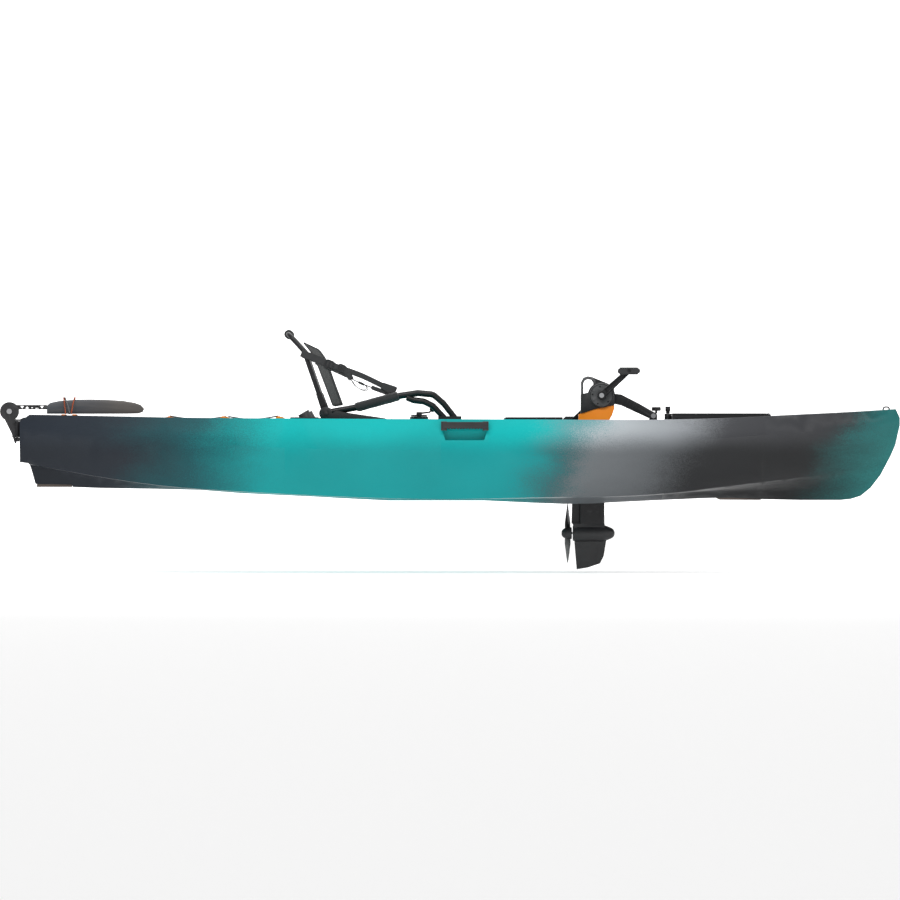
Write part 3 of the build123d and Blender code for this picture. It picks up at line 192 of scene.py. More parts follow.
def srgb(red, green, blue):
    """Linear colour from 0-255 display values."""
    return tuple((c / 255 / 12.92) if c <= 10 else ((c / 255 + 0.055) / 1.055) ** 2.4 for c in (red, green, blue))


# ------------------------------------------------------------------ materials
# Colour stops from stern to bow: the resin's own colours along the hull, painted lighter above the crease as painted
# highlight and sheen where the panel faces up.
UPPER_BANDS_PAINTED_LIT = (
    (0.0, srgb(38, 44, 53)), (0.10, srgb(42, 50, 58)), (0.19, srgb(30, 84, 90)), (0.28, srgb(0, 168, 167)),
    (0.58, srgb(0, 170, 169)), (0.63, srgb(96, 146, 150)), (0.66, srgb(168, 174, 178)), (0.74, srgb(142, 146, 150)),
    (0.79, srgb(66, 67, 70)), (0.92, srgb(46, 47, 50)), (0.955, srgb(26, 96, 96)), (1.0, srgb(24, 104, 102)))
# The same stops below the crease, painted darker as painted shade.
LOWER_BANDS_PAINTED_SHADE = (
    (0.0, srgb(28, 33, 40)), (0.12, srgb(32, 38, 46)), (0.20, srgb(16, 76, 82)), (0.29, srgb(0, 142, 143)),
    (0.57, srgb(0, 136, 138)), (0.62, srgb(46, 84, 88)), (0.645, srgb(98, 102, 105)), (0.72, srgb(82, 85, 88)),
    (0.77, srgb(30, 31, 33)), (0.90, srgb(20, 21, 23)), (0.945, srgb(22, 76, 76)), (1.0, srgb(34, 112, 110)))


def hull_skin():
    """Rotomoulded resin: bands of colour along the hull that break up into grains where they meet, with painted
    highlight above the crease and painted shade below it.
    """
    s = Shade("hull_skin")
    x, _, z = s.place()
    grain = s.noise(420.0, 3.0, rough=0.7)
    cloud = s.noise(5.0, 4.0, (0.6, 1, 1.6))
    place = (x - STERN) / LENGTH + (cloud - 0.5) * 0.06 + (grain - 0.5) * 0.14 + (z - 0.2) * -0.08
    # Painted light: one ramp holds the painted lit colours and the other the painted shade.
    upper_painted_lit = s.node("ShaderNodeValToRGB", {"stops": UPPER_BANDS_PAINTED_LIT}, {0: place})
    lower_painted_shade = s.node("ShaderNodeValToRGB", {"stops": LOWER_BANDS_PAINTED_SHADE}, {0: place})
    height = z + (grain - 0.5) * 0.09 + (cloud - 0.5) * 0.05
    # Painted light: the height picks the painted lit colours above the crease and the painted shade below it.
    bands_and_painted_light = s.mix(height.step(0.19, 0.31), lower_painted_shade, upper_painted_lit)
    blotch = s.noise(2.2, 5.0)
    tone = (blotch - 0.5) * 0.35 + (grain - 0.5) * 0.35 + 1.0
    shaded = s.node("ShaderNodeMix", {"data_type": "RGBA", "blend_type": "MULTIPLY"},
                    {0: 1.0, 6: bands_and_painted_light, 7: s.node("ShaderNodeCombineColor", None, {0: tone, 1: tone, 2: tone})},
                    output=2)
    pebble = s.noise(1400.0, 2.0)
    scuff = s.noise(60.0, 6.0, (0.15, 1, 1))
    rough = 0.40 + (scuff - 0.5) * 0.25
    s.shader.inputs["Specular IOR Level"].default_value = 0.22
    return s.finish(shaded, rough, Normal=s.bump(pebble, 0.12, 0.0006))


def moulding(name, colour, rough=0.45, pebble=0.25):
    """Injection-moulded plastic with a fine spark texture and faint flow marks."""
    s = Shade(name)
    spark = s.noise(2600.0, 2.0)
    flow = s.noise(24.0, 5.0)
    tone = (flow - 0.5) * 0.35
    lighter = tuple(min(1.0, c * 1.6 + 0.004) for c in colour)
    return s.finish(s.mix(tone + 0.5, colour, lighter), rough + (flow - 0.5) * 0.3,
                    Normal=s.bump(spark, pebble, 0.0004))


def powder_coat():
    """Black powder coat: orange peel, rubbed paler where it is handled."""
    s = Shade("powder_coat")
    orange_peel = s.noise(1800.0, 2.0)
    rub = s.noise(18.0, 6.0)
    return s.finish(s.mix(rub.step(0.62, 0.78) * 0.35, srgb(24, 24, 26), srgb(70, 70, 72)),
                    0.34 + (rub - 0.5) * 0.3, Normal=s.bump(orange_peel, 0.18, 0.0004), Metallic=0.35)


def steel():
    """Brushed stainless steel."""
    s = Shade("stainless_steel")
    brush = s.noise(260.0, 4.0, (1, 1, 14))
    return s.finish(s.mix(brush, srgb(150, 150, 152), srgb(205, 205, 208)), 0.22 + brush * 0.2,
                    Metallic=1.0, Normal=s.bump(brush, 0.08, 0.0003))


def rubber():
    """Soft black rubber with a little dust."""
    s = Shade("soft_rubber")
    dust = s.noise(90.0, 6.0)
    return s.finish(s.mix(dust.step(0.5, 0.8) * 0.4, srgb(18, 18, 18), srgb(58, 57, 55)), 0.75,
                    Normal=s.bump(s.noise(1500.0), 0.3, 0.0005))


def deck_foam():
    """Grooved deck foam: brushed grain with straight channels across it, the channels painted near black as painted
    shade.
    """
    s = Shade("deck_foam")
    x = s.place()[0]
    channel_and_painted_shade = (x * (2 * math.pi / 0.04)).sine().absolute().step(0.0, 0.16)
    grain = s.noise(700.0, 3.0)
    # Painted shade: the channels are coloured near black and the faces between them grey.
    return s.finish(s.mix(channel_and_painted_shade, srgb(14, 14, 15), srgb(62, 64, 67)), 0.85,
                    Normal=s.bump(channel_and_painted_shade * 0.8 + grain * 0.2, 0.6, 0.0012))


def mesh_cloth():
    """Open polyester mesh: two crossing threads with small holes painted near black as painted shade."""
    s = Shade("mesh_cloth")
    u, v = s.uv()
    pitch = 2 * math.pi / 0.0034
    weave = (u * pitch).sine() * (v * pitch).sine()
    hole_and_painted_shade = weave.absolute().step(0.45, 0.8)
    fuzz = s.noise(600.0, 3.0)
    # Painted shade: the holes between the threads are coloured near black.
    return s.finish(s.mix(hole_and_painted_shade, s.mix(fuzz, srgb(66, 66, 66), srgb(98, 98, 98)), srgb(12, 12, 12)), 0.85,
                    Normal=s.bump(hole_and_painted_shade * -1.0 + fuzz * 0.3, 0.6, 0.0008), Sheen_Weight=0.25)


def cloth(name, dark, light, pitch):
    """Plain weave cloth: threads over and under at one pitch, in metres."""
    s = Shade(name)
    u, v = s.uv()
    turn = 2 * math.pi / pitch
    weave = (u * turn).sine() * (v * turn).sine() * 0.5 + 0.5
    wear = s.noise(40.0, 5.0)
    return s.finish(s.mix(weave * 0.6 + wear * 0.4, dark, light), 0.8,
                    Normal=s.bump(weave, 0.5, 0.0007), Sheen_Weight=0.3)


def webbing():
    """Flat webbing: ribs across its length crossed by a slanting twill."""
    s = Shade("webbing")
    u, v = s.uv()
    ribs = (u * (2 * math.pi / 0.0022)).sine() * 0.5 + 0.5
    twill = ((u + v) * (2 * math.pi / 0.0044)).sine() * 0.5 + 0.5
    return s.finish(s.mix(ribs * 0.5 + twill * 0.5, srgb(14, 14, 15), srgb(52, 52, 54)), 0.7,
                    Normal=s.bump(ribs, 0.6, 0.0006), Sheen_Weight=0.2)


def cord_cover(name, base, fleck):
    """Braided cord: two thread sets crossing at a slant, with a fleck."""
    s = Shade(name)
    u, v = s.uv()
    left = (u * 1400.0 + v * 12.566).sine()
    right = (u * 1400.0 - v * 12.566).sine()
    braid = left * right
    return s.finish(s.mix(braid.step(0.1, 0.6), base, fleck), 0.65,
                    Normal=s.bump(braid, 0.5, 0.0006))


def blade_plastic():
    """Glass-filled nylon: warm grey towards the tip, blue grey at the root, with long scuffs."""
    s = Shade("blade_plastic")
    x = s.place()[0]
    low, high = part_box("rudder_blade")
    along = (x - low.x) / (high.x - low.x)
    scuff = s.noise(30.0, 6.0, (0.3, 1, 2))
    tone = s.mix(along.step(0.1, 0.9), srgb(70, 76, 84), srgb(96, 91, 87))
    return s.finish(s.mix((scuff - 0.4) * 0.8, tone, srgb(128, 122, 116)), 0.5 + (scuff - 0.5) * 0.3,
                    Normal=s.bump(s.noise(1200.0), 0.25, 0.0004))


def foam_grip():
    """Closed-cell foam."""
    s = Shade("foam_grip")
    cell = s.noise(1100.0, 3.0)
    return s.finish(s.mix(cell, srgb(14, 14, 14), srgb(46, 46, 47)), 0.9, Normal=s.bump(cell, 0.6, 0.0012))


MATERIALS = {
    "hull_plastic": hull_skin(),
    "black_plastic": moulding("black_moulding", srgb(24, 24, 26)),
    "grey_plastic": moulding("grey_moulding", srgb(72, 72, 73)),
    "orange_plastic": moulding("orange_moulding", srgb(255, 128, 6), 0.4),
    "skid_plastic": moulding("skid_strip", srgb(82, 73, 67), 0.6),
    "blade_plastic": blade_plastic(),
    "black_metal": powder_coat(),
    "seat_tube": powder_coat(),
    "steel": steel(),
    "rubber": rubber(),
    "pad_foam": deck_foam(),
    "grip_foam": foam_grip(),
    "mesh_fabric": mesh_cloth(),
    "sleeve_fabric": cloth("sleeve_cloth", srgb(16, 16, 17), srgb(44, 44, 46), 0.0016),
    "webbing": webbing(),
}
ORANGE_CORD = cord_cover("orange_cord", srgb(225, 95, 12), srgb(40, 22, 10))
BLACK_CORD = cord_cover("black_cord", srgb(20, 20, 22), srgb(120, 122, 124))


def dress(piece, material):
    """Gives a piece one material in place of any it had."""
    piece.data.materials.clear()
    piece.data.materials.append(material)


SLOT_OF = {part["node"]: part["material_slot"] for part in frame["record"]["subparts"]}
BODY_OF = {node: body for body, nodes in frame["record"]["behaviour"]["bodies"].items() for node in nodes}
for node, piece in NODES.items():
    dress(piece, MATERIALS[SLOT_OF[node]])


# ------------------------------------------------------------------ camera, floor and light
VIEW_CENTRE = (-0.043, 0.0, 0.210)
VIEW_WIDTH = 3.747
CAMERA_AWAY = 30.0
SENSOR = 36.0
FLOOR_GAP = 0.012
FLOOR_EMISSION = 0.45
WORLD_STRENGTH = 0.5


def set_camera():
    """A level long lens looking along +Y at the starboard side."""
    camera = bpy.data.cameras.new("camera")
    camera.sensor_width = SENSOR
    camera.lens = SENSOR * CAMERA_AWAY / VIEW_WIDTH
    camera.clip_end = 200.0
    holder = bpy.data.objects.new("camera", camera)
    holder.location = (VIEW_CENTRE[0], VIEW_CENTRE[1] - CAMERA_AWAY, VIEW_CENTRE[2])
    holder.rotation_euler = (math.radians(90), 0, 0)
    bpy.context.scene.collection.objects.link(holder)
    bpy.context.scene.camera = holder


def set_floor():
    """A wide pale floor just below the lowest part, and a lit sheet of the same white far behind it."""
    z, near, far, half = CAD_BOX[0][2] - FLOOR_GAP, -28.0, 26.0, 28.0
    plans = {"floor": [(-half, near, z), (half, near, z), (half, far, z), (-half, far, z)],
             "backdrop": [(-half, far, z), (half, far, z), (half, far, half), (-half, far, half)]}
    for name, corners in plans.items():
        mesh = bpy.data.meshes.new(name)
        mesh.from_pydata(corners, [], [(0, 1, 2, 3)])
        sheet = bpy.data.objects.new(name, mesh)
        bpy.context.scene.collection.objects.link(sheet)
        s = Shade(name + "_paint")
        s.shader.inputs["Emission Strength"].default_value = 1.0 if name == "backdrop" else FLOOR_EMISSION
        s.finish((0.8, 0.8, 0.8), 1.0, Emission_Color=(1.0, 1.0, 1.0))
        dress(sheet, s.material)


def area_light(name, place, aim, size, power):
    """A soft rectangle of light at a place, turned to face its aim; power in watts."""
    light = bpy.data.lights.new(name, "AREA")
    light.shape = "RECTANGLE"
    light.size, light.size_y = size
    light.energy = power
    holder = bpy.data.objects.new(name, light)
    holder.location = place
    run = np.array(aim) - np.array(place)
    flat = math.hypot(run[0], run[1])
    holder.rotation_euler = (math.atan2(flat, -run[2]), 0, math.atan2(run[1], run[0]) - math.pi / 2)
    bpy.context.scene.collection.objects.link(holder)


def set_light():
    """A white surround with three soft lights: from the camera's side, from above and from the bow."""
    world = bpy.data.worlds.new("studio")
    world.use_nodes = True
    world.node_tree.nodes["Background"].inputs[0].default_value = (1, 1, 1, 1)
    world.node_tree.nodes["Background"].inputs[1].default_value = WORLD_STRENGTH
    bpy.context.scene.world = world
    area_light("key", (-1.0, -4.0, 4.2), (0, 0, 0.2), (5.0, 1.2), 170)
    area_light("top", (0.5, 1.5, 4.0), (0, 0, 0.2), (5.0, 2.0), 90)
    area_light("bow", (5.0, -2.5, 1.6), (1.2, 0, 0.2), (1.5, 1.5), 40)


set_camera()
set_floor()
set_light()
bpy.context.scene.view_settings.view_transform = "Standard"

# ------------------------------------------------------------------ surfaces
def surface(name, points, round_columns=False, capped=False, smooth=True):
    """A mesh on a grid of points, rows by columns, with UV in metres along both ways.

    Faces point along (column way) x (row way); a round grid joins its last column to its first."""
    points = np.asarray(points, dtype=float)
    rows, columns = points.shape[:2]
    index = np.arange(rows * columns).reshape(rows, columns)
    ring = np.concatenate([index, index[:, :1]], axis=1) if round_columns else index
    grid = np.concatenate([points, points[:, :1]], axis=1) if round_columns else points
    quads = np.stack([ring[:-1, :-1], ring[:-1, 1:], ring[1:, 1:], ring[1:, :-1]], axis=-1).reshape(-1, 4)
    faces = quads.tolist()
    if capped:
        faces += [index[0][::-1].tolist(), index[-1].tolist()]
    mesh = bpy.data.meshes.new(name)
    mesh.from_pydata(points.reshape(-1, 3).tolist(), [], faces)
    steps_u = np.linalg.norm(np.diff(grid, axis=0), axis=2).mean(axis=1)
    steps_v = np.linalg.norm(np.diff(grid, axis=1), axis=2).mean(axis=0)
    u = np.concatenate([[0], np.cumsum(steps_u)])
    v = np.concatenate([[0], np.cumsum(steps_v)])
    uu, vv = np.meshgrid(u, v, indexing="ij")
    uv = np.stack([uu, vv], axis=-1)
    loops = np.stack([uv[:-1, :-1], uv[:-1, 1:], uv[1:, 1:], uv[1:, :-1]], axis=2).reshape(-1, 2)
    full = np.zeros((len(mesh.loops), 2))
    full[:len(loops)] = loops
    mesh.uv_layers.new(name="UVMap").data.foreach_set("uv", full.ravel())
    mesh.polygons.foreach_set("use_smooth", np.full(len(mesh.polygons), smooth))
    mesh.update()
    piece = bpy.data.objects.new(name, mesh)
    bpy.context.scene.collection.objects.link(piece)
    return piece


def carried(path, profile, side=(0, 1, 0)):
    """A profile carried along a path: each ring is path + a * normal + b * side, square to the path."""
    path = np.asarray(path, dtype=float)
    profile = np.asarray(profile, dtype=float)
    tangent = np.gradient(path, axis=0)
    tangent /= np.linalg.norm(tangent, axis=1, keepdims=True)
    across = np.asarray(side, dtype=float)[None, :] - tangent * (tangent @ np.asarray(side, dtype=float))[:, None]
    across /= np.linalg.norm(across, axis=1, keepdims=True)
    normal = np.cross(across, tangent)
    if profile.ndim == 2:
        profile = np.broadcast_to(profile, (len(path), *profile.shape))
    return path[:, None, :] + profile[..., :1] * normal[:, None, :] + profile[..., 1:] * across[:, None, :]


def circle(radius, count=16):
    """A round section."""
    turn = np.linspace(0, 2 * np.pi, count, endpoint=False)
    return np.stack([np.cos(turn), np.sin(turn)], axis=-1) * radius


def flat_band(width, thick, count=6):
    """A rounded strip's section: |a / (w/2)|^8 + |b / (t/2)|^2 = 1."""
    turn = np.linspace(0, 2 * np.pi, 4 * count, endpoint=False)
    a = np.sign(np.cos(turn)) * np.abs(np.cos(turn)) ** 0.25
    b = np.sign(np.sin(turn)) * np.abs(np.sin(turn)) ** 0.9
    return np.stack([a * width / 2, b * thick / 2], axis=-1)


def smooth_path(points, count=60):
    """A Catmull-Rom curve through points: p(t) is the cubic through each pair with its neighbours' slopes."""
    points = np.asarray(points, dtype=float)
    padded = np.vstack([2 * points[0] - points[1], points, 2 * points[-1] - points[-2]])
    t = np.linspace(0, len(points) - 1, count)
    i = np.minimum(t.astype(int), len(points) - 2)
    f = (t - i)[:, None]
    p0, p1, p2, p3 = padded[i], padded[i + 1], padded[i + 2], padded[i + 3]
    return 0.5 * (2 * p1 + (p2 - p0) * f + (2 * p0 - 5 * p1 + 4 * p2 - p3) * f ** 2
                  + (3 * p1 - p0 - 3 * p2 + p3) * f ** 3)


def place(piece, body, material, *replaced):
    """Dresses a piece, rides it on its body and stands it in for the CAD nodes it replaces."""
    dress(piece, material)
    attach(piece, body)
    if replaced:
        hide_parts(*replaced)
    return piece


def merged(*parts):
    """Joins pieces into the first one."""
    bm = bmesh.new()
    for part in parts:
        bm.from_mesh(part.data)
    bm.to_mesh(parts[0].data)
    bm.free()
    for part in parts[1:]:
        bpy.data.objects.remove(part)
    return parts[0]


def mirrored(name, piece):
    """The port twin of a starboard piece: y is negated and each face turned over."""
    mesh = piece.data.copy()
    places = np.empty(len(mesh.vertices) * 3)
    mesh.vertices.foreach_get("co", places)
    places.reshape(-1, 3)[:, 1] *= -1
    mesh.vertices.foreach_set("co", places)
    mesh.flip_normals()
    twin = bpy.data.objects.new(name, mesh)
    bpy.context.scene.collection.objects.link(twin)
    return twin


CAD_MERGE = 2e-5  # corners closer than this are one corner
CAD_FLAT = math.radians(0.8)  # faces that meet flatter than this are one face


def softened(node, width, material=None, angle=35.0, segments=2):
    """A merged copy of a CAD node with its sharp edges rounded."""
    source = NODES[node]
    bm = bmesh.new()
    bm.from_mesh(source.data)
    bmesh.ops.remove_doubles(bm, verts=bm.verts, dist=CAD_MERGE)
    bmesh.ops.dissolve_limit(bm, angle_limit=CAD_FLAT, verts=bm.verts, edges=bm.edges)
    mesh = bpy.data.meshes.new(node + "_finished")
    bm.to_mesh(mesh)
    bm.free()
    mesh.polygons.foreach_set("use_smooth", np.full(len(mesh.polygons), True))
    piece = bpy.data.objects.new(node + "_finished", mesh)
    bpy.context.scene.collection.objects.link(piece)
    bevel = piece.modifiers.new("round", "BEVEL")
    bevel.width = width
    bevel.segments = segments
    bevel.limit_method = "ANGLE"
    bevel.angle_limit = math.radians(angle)
    bevel.harden_normals = True
    bevel.use_clamp_overlap = True
    place(piece, BODY_OF[node], material or MATERIALS[SLOT_OF[node]], node)
    return piece


SQUARE_ON = 0.99999  # least part of a cut face's normal along its axis
SAME_AREA = 0.97  # least share between the two sides of a cut
HULL_MERGE = 3e-5
HULL_SHARP = math.radians(24)


def seamless_hull():
    """The moulding as one skin: the bays' shared faces, which lie back to back on a plane, are taken out."""
    bm = bmesh.new()
    bm.from_mesh(NODES["hull"].data)
    planes = {}
    for face in bm.faces:
        axis = max(range(3), key=lambda i: abs(face.normal[i]))
        if abs(face.normal[axis]) < SQUARE_ON:
            continue
        level = round(face.calc_center_median()[axis], 5)
        pair = planes.setdefault((axis, level), ([], []))
        pair[face.normal[axis] > 0].append(face)
    shared = []
    for low, high in planes.values():
        areas = sum(f.calc_area() for f in low), sum(f.calc_area() for f in high)
        if min(areas) > 0 and min(areas) > SAME_AREA * max(areas):
            shared += low + high
    bmesh.ops.delete(bm, geom=shared, context="FACES")
    bmesh.ops.remove_doubles(bm, verts=bm.verts, dist=HULL_MERGE)
    mesh = bpy.data.meshes.new("hull_moulding")
    bm.to_mesh(mesh)
    bm.free()
    mesh.polygons.foreach_set("use_smooth", np.full(len(mesh.polygons), True))
    mesh.set_sharp_from_angle(angle=HULL_SHARP)
    piece = bpy.data.objects.new("hull_moulding", mesh)
    bpy.context.scene.collection.objects.link(piece)
    place(piece, "hull_body", MATERIALS["hull_plastic"], "hull")


# ------------------------------------------------------------------ seat
HINGE = np.array(JOINTS["seat_fold"]["pos_m"])
BACK_RUN = np.array([-0.3278, 0.0, 0.9447])  # up the back tube
BACK_FRONT = np.array([0.9447, 0.0, 0.3278])  # towards the sitter
TUBE_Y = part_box("back_panel")[1].y + 0.0005
TUBE_INNER = 0.1975  # y of the sleeve's inner face
RAIL_LOW, RAIL_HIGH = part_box("seat_sleeves")
SHEET_WALL = 0.003
SHEET_DIP = -0.010
SHEET_EDGE_R = 0.0055
BACK_SPAN = (0.070, 0.262)  # up the back tube from the hinge
BACK_LIFT = 0.007
WING_WALL = 0.0022
WING_EDGE_R = 0.0026
STRAP_SETBACK = 0.00125  # from the strap's outer face to its middle
SLEEVE_INSET = (0.0055, 0.0165)
SLEEVE_R = 0.0178


def bound_edge(name, path, radius, side=(0, 1, 0)):
    """A rolled fabric edge along a sheet."""
    return surface(name, carried(path, circle(radius, 10), side), round_columns=True, capped=True)


def slung_sheet(name, start, end, half, sag, thick, front):
    """A sheet between two cross lines, sagging as 1 - (y / half)^2 towards front, with a wall of thick."""
    s = np.linspace(0, 1, 40)[:, None]
    y = np.linspace(-half, half, 60)[None, :]
    dip = sag * (1 - (y / half) ** 2) * np.sin(np.pi * np.clip(s, 0.0, 1.0)) ** 0.6
    line = np.asarray(start)[None, None, :] * (1 - s[..., None]) + np.asarray(end)[None, None, :] * s[..., None]
    points = line + dip[..., None] * np.asarray(front)[None, None, :]
    points = points + y[..., None] * np.array([0, 1.0, 0])
    piece = surface(name, points)
    wall = piece.modifiers.new("wall", "SOLIDIFY")
    wall.thickness = thick
    wall.offset = 0.0
    return piece


def seat_cloth():
    """The slung pan and back, each a stretched sheet with rolled edges."""
    low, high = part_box("seat_pan")
    start = np.array([low.x, 0, low.z + 0.005])
    end = np.array([high.x, 0, high.z - 0.005])
    half = high.y - 0.002
    pan = slung_sheet("seat_pan_mesh", start, end, half, SHEET_DIP, SHEET_WALL, (0, 0, 1))
    place(pan, "seat", MATERIALS["mesh_fabric"], "seat_pan")
    y = np.linspace(-half, half, 40)
    for name, at in (("pan_front_edge", end), ("pan_back_edge", start)):
        path = np.stack([np.full_like(y, at[0]), y, np.full_like(y, at[2])], axis=-1)
        place(bound_edge(name, path, SHEET_EDGE_R, (0, 0, 1)), "seat", MATERIALS["sleeve_fabric"])
    back_low = HINGE + BACK_RUN * BACK_SPAN[0] + BACK_FRONT * BACK_LIFT
    back_high = HINGE + BACK_RUN * BACK_SPAN[1] + BACK_FRONT * BACK_LIFT
    half = TUBE_Y - 0.002
    back = slung_sheet("seat_back_mesh", back_low, back_high, half, SHEET_DIP, SHEET_WALL, BACK_FRONT)
    place(back, "seat_back", MATERIALS["mesh_fabric"], "back_panel")
    for name, at in (("back_top_edge", back_high), ("back_low_edge", back_low)):
        path = np.stack([np.full_like(y, at[0]), y * half / y.max(), np.full_like(y, at[2])], axis=-1)
        place(bound_edge(name, path, SHEET_EDGE_R, (0, 0, 1)), "seat_back", MATERIALS["sleeve_fabric"])


def seat_sleeve():
    """The padded sleeve round a side tube: a fat tube with soft rings of wrinkles and a sewn seam."""
    axis_y = -(RAIL_HIGH.y + TUBE_INNER) / 2
    start = np.array([RAIL_LOW.x + SLEEVE_INSET[0], axis_y, RAIL_LOW.z + SLEEVE_INSET[1]])
    end = np.array([RAIL_HIGH.x - SLEEVE_INSET[0], axis_y, RAIL_HIGH.z - SLEEVE_INSET[1]])
    start, end = start - (end - start) * 0.05, end + (end - start) * 0.10
    s = np.linspace(0, 1, 90)
    path = start + (end - start) * s[:, None]
    turn = np.linspace(0, 2 * np.pi, 40, endpoint=False)
    rng = np.random.default_rng(7)
    wrinkle = sum(rng.uniform(0.2, 1) * np.sin(k * 6.28 * s[:, None] + rng.uniform(0, 6.28)
                                               + rng.uniform(-1, 1) * np.sin(turn)[None, :] * 2)
                  for k in (3, 5, 8, 13))
    ends = np.clip(np.minimum(s, 1 - s) / 0.035, 0, 1)[:, None] ** 0.5
    radius = (SLEEVE_R + 0.0004 * wrinkle) * (0.86 + 0.14 * ends)
    seam = np.exp(-((np.mod(turn - 4.4 + np.pi, 2 * np.pi) - np.pi) / 0.12) ** 2)
    radius = radius - 0.0009 * seam[None, :]
    profile = np.stack([radius * np.cos(turn), radius * np.sin(turn)], axis=-1)
    piece = surface("seat_sleeve_right", carried(path, profile), round_columns=True, capped=True)
    twin = mirrored("seat_sleeve_left", piece)
    for sleeve in (piece, twin):
        place(sleeve, "seat", MATERIALS["sleeve_fabric"], "seat_sleeves")
        more = sleeve.modifiers.new("finer", "SUBSURF")
        more.levels = more.render_levels = 1



def back_wings():
    """The mesh wing in front of each back tube: a ruled sheet between its rear and front edges."""
    y = -(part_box("back_wings")[1].y - STRAP_SETBACK)
    rear = smooth_path([(-0.527, y, 0.394), (-0.567, y, 0.500), (-0.606, y, 0.596), (-0.648, y, 0.654)], 40)
    fore = smooth_path([(-0.493, y, 0.400), (-0.527, y, 0.492), (-0.559, y, 0.580), (-0.588, y, 0.626)], 40)
    s = np.linspace(0, 1, 14)[None, :, None]
    points = rear[:, None, :] * (1 - s) + fore[:, None, :] * s
    sheet = surface("back_wing_right", points)
    wall = sheet.modifiers.new("wall", "SOLIDIFY")
    wall.thickness = WING_WALL
    wall.offset = 0.0
    edges = merged(*[bound_edge(f"wing_edge_{k}", path, WING_EDGE_R) for k, path in enumerate(
        (fore, rear, points[0], points[-1]))])
    edges.name = "wing_edge_right"
    twins = mirrored("back_wing_left", sheet), mirrored("wing_edge_left", edges)
    wall = twins[0].modifiers.new("wall", "SOLIDIFY")
    wall.thickness = WING_WALL
    wall.offset = 0.0
    for piece in (sheet, twins[0]):
        place(piece, "seat_back", MATERIALS["mesh_fabric"], "back_wings")
        width = float(np.linalg.norm(rear - fore, axis=1).mean())
        run = float(np.linalg.norm(np.diff((rear + fore) / 2, axis=0), axis=1).sum())
    for piece in (edges, twins[1]):
        place(piece, "seat_back", MATERIALS["webbing"])
    for piece in (sheet, twins[0], edges, twins[1]):
        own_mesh(piece)


def grip_sleeve():
    """The foam grip: a round tube with a soft waist every finger's width and rounded ends."""
    low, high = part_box("back_grip")
    axis = np.array([(low.x + high.x) / 2, 0, (low.z + high.z) / 2])
    y = np.linspace(low.y, high.y, 120)
    path = axis + np.stack([np.zeros_like(y), y, np.zeros_like(y)], axis=-1)
    end = np.clip(np.minimum(y - low.y, high.y - y) / 0.008, 0, 1)
    radius = (0.0182 + 0.0006 * np.cos(y * 2 * np.pi / 0.026)) * (0.72 + 0.28 * np.sqrt(1 - (1 - end) ** 2))
    profile = circle(1.0, 28)[None, :, :] * radius[:, None, None]
    piece = surface("back_grip_foam", carried(path, profile, (0, 0, 1)), round_columns=True, capped=True)
    place(piece, "seat_back", MATERIALS["grip_foam"], "back_grip")


STRAP_TOP = (-0.6585, 0.6110)
STRAP_CLIP = (-0.5420, 0.5630)
STRAP_LADDER = (-0.4920, 0.5490)
STRAP_TAB = (-0.3280, 0.4800)
STRAP_FOOT = (-0.2780, 0.4560)
WEB_WIDE, WEB_MIDDLE, WEB_NARROW = 0.030, 0.024, 0.021
DRAW_CORD_R = 0.0014
TOGGLE_R = 0.0045


def strap_run(name, points, y, width, thick=0.0018, count=40):
    """Flat webbing through points in X and Z at one y."""
    path = smooth_path([(x, y, z) for x, z in points], count)
    return surface(name, carried(path, flat_band(width, thick)), round_columns=True, capped=True)


def buckle(name, centre, y, run, size, bars):
    """A moulded frame with cross bars, its outline a rounded rectangle in the strap's plane."""
    along = np.array([run[0], 0, run[1]])
    along /= np.linalg.norm(along)
    up = np.array([-along[2], 0, along[0]])
    parts = []
    turn = np.linspace(0, 2 * np.pi, 48, endpoint=False)
    a = np.sign(np.cos(turn)) * np.abs(np.cos(turn)) ** 0.35 * size[0] / 2
    b = np.sign(np.sin(turn)) * np.abs(np.sin(turn)) ** 0.35 * size[1] / 2
    middle = np.array([centre[0], y, centre[1]])
    ring = middle + a[:, None] * along + b[:, None] * up
    ring = np.vstack([ring, ring[:1]])
    parts.append(surface(name, carried(ring, circle(0.0024, 10)), round_columns=True))
    for k in range(bars):
        at = (k + 1) / (bars + 1) - 0.5
        line = middle + along * at * size[0] + np.linspace(-0.5, 0.5, 6)[:, None] * up * size[1]
        parts.append(surface(f"{name}_bar{k}", carried(line, circle(0.0022, 10)), round_columns=True, capped=True))
    joined = merged(*parts)
    joined.name = name
    return joined


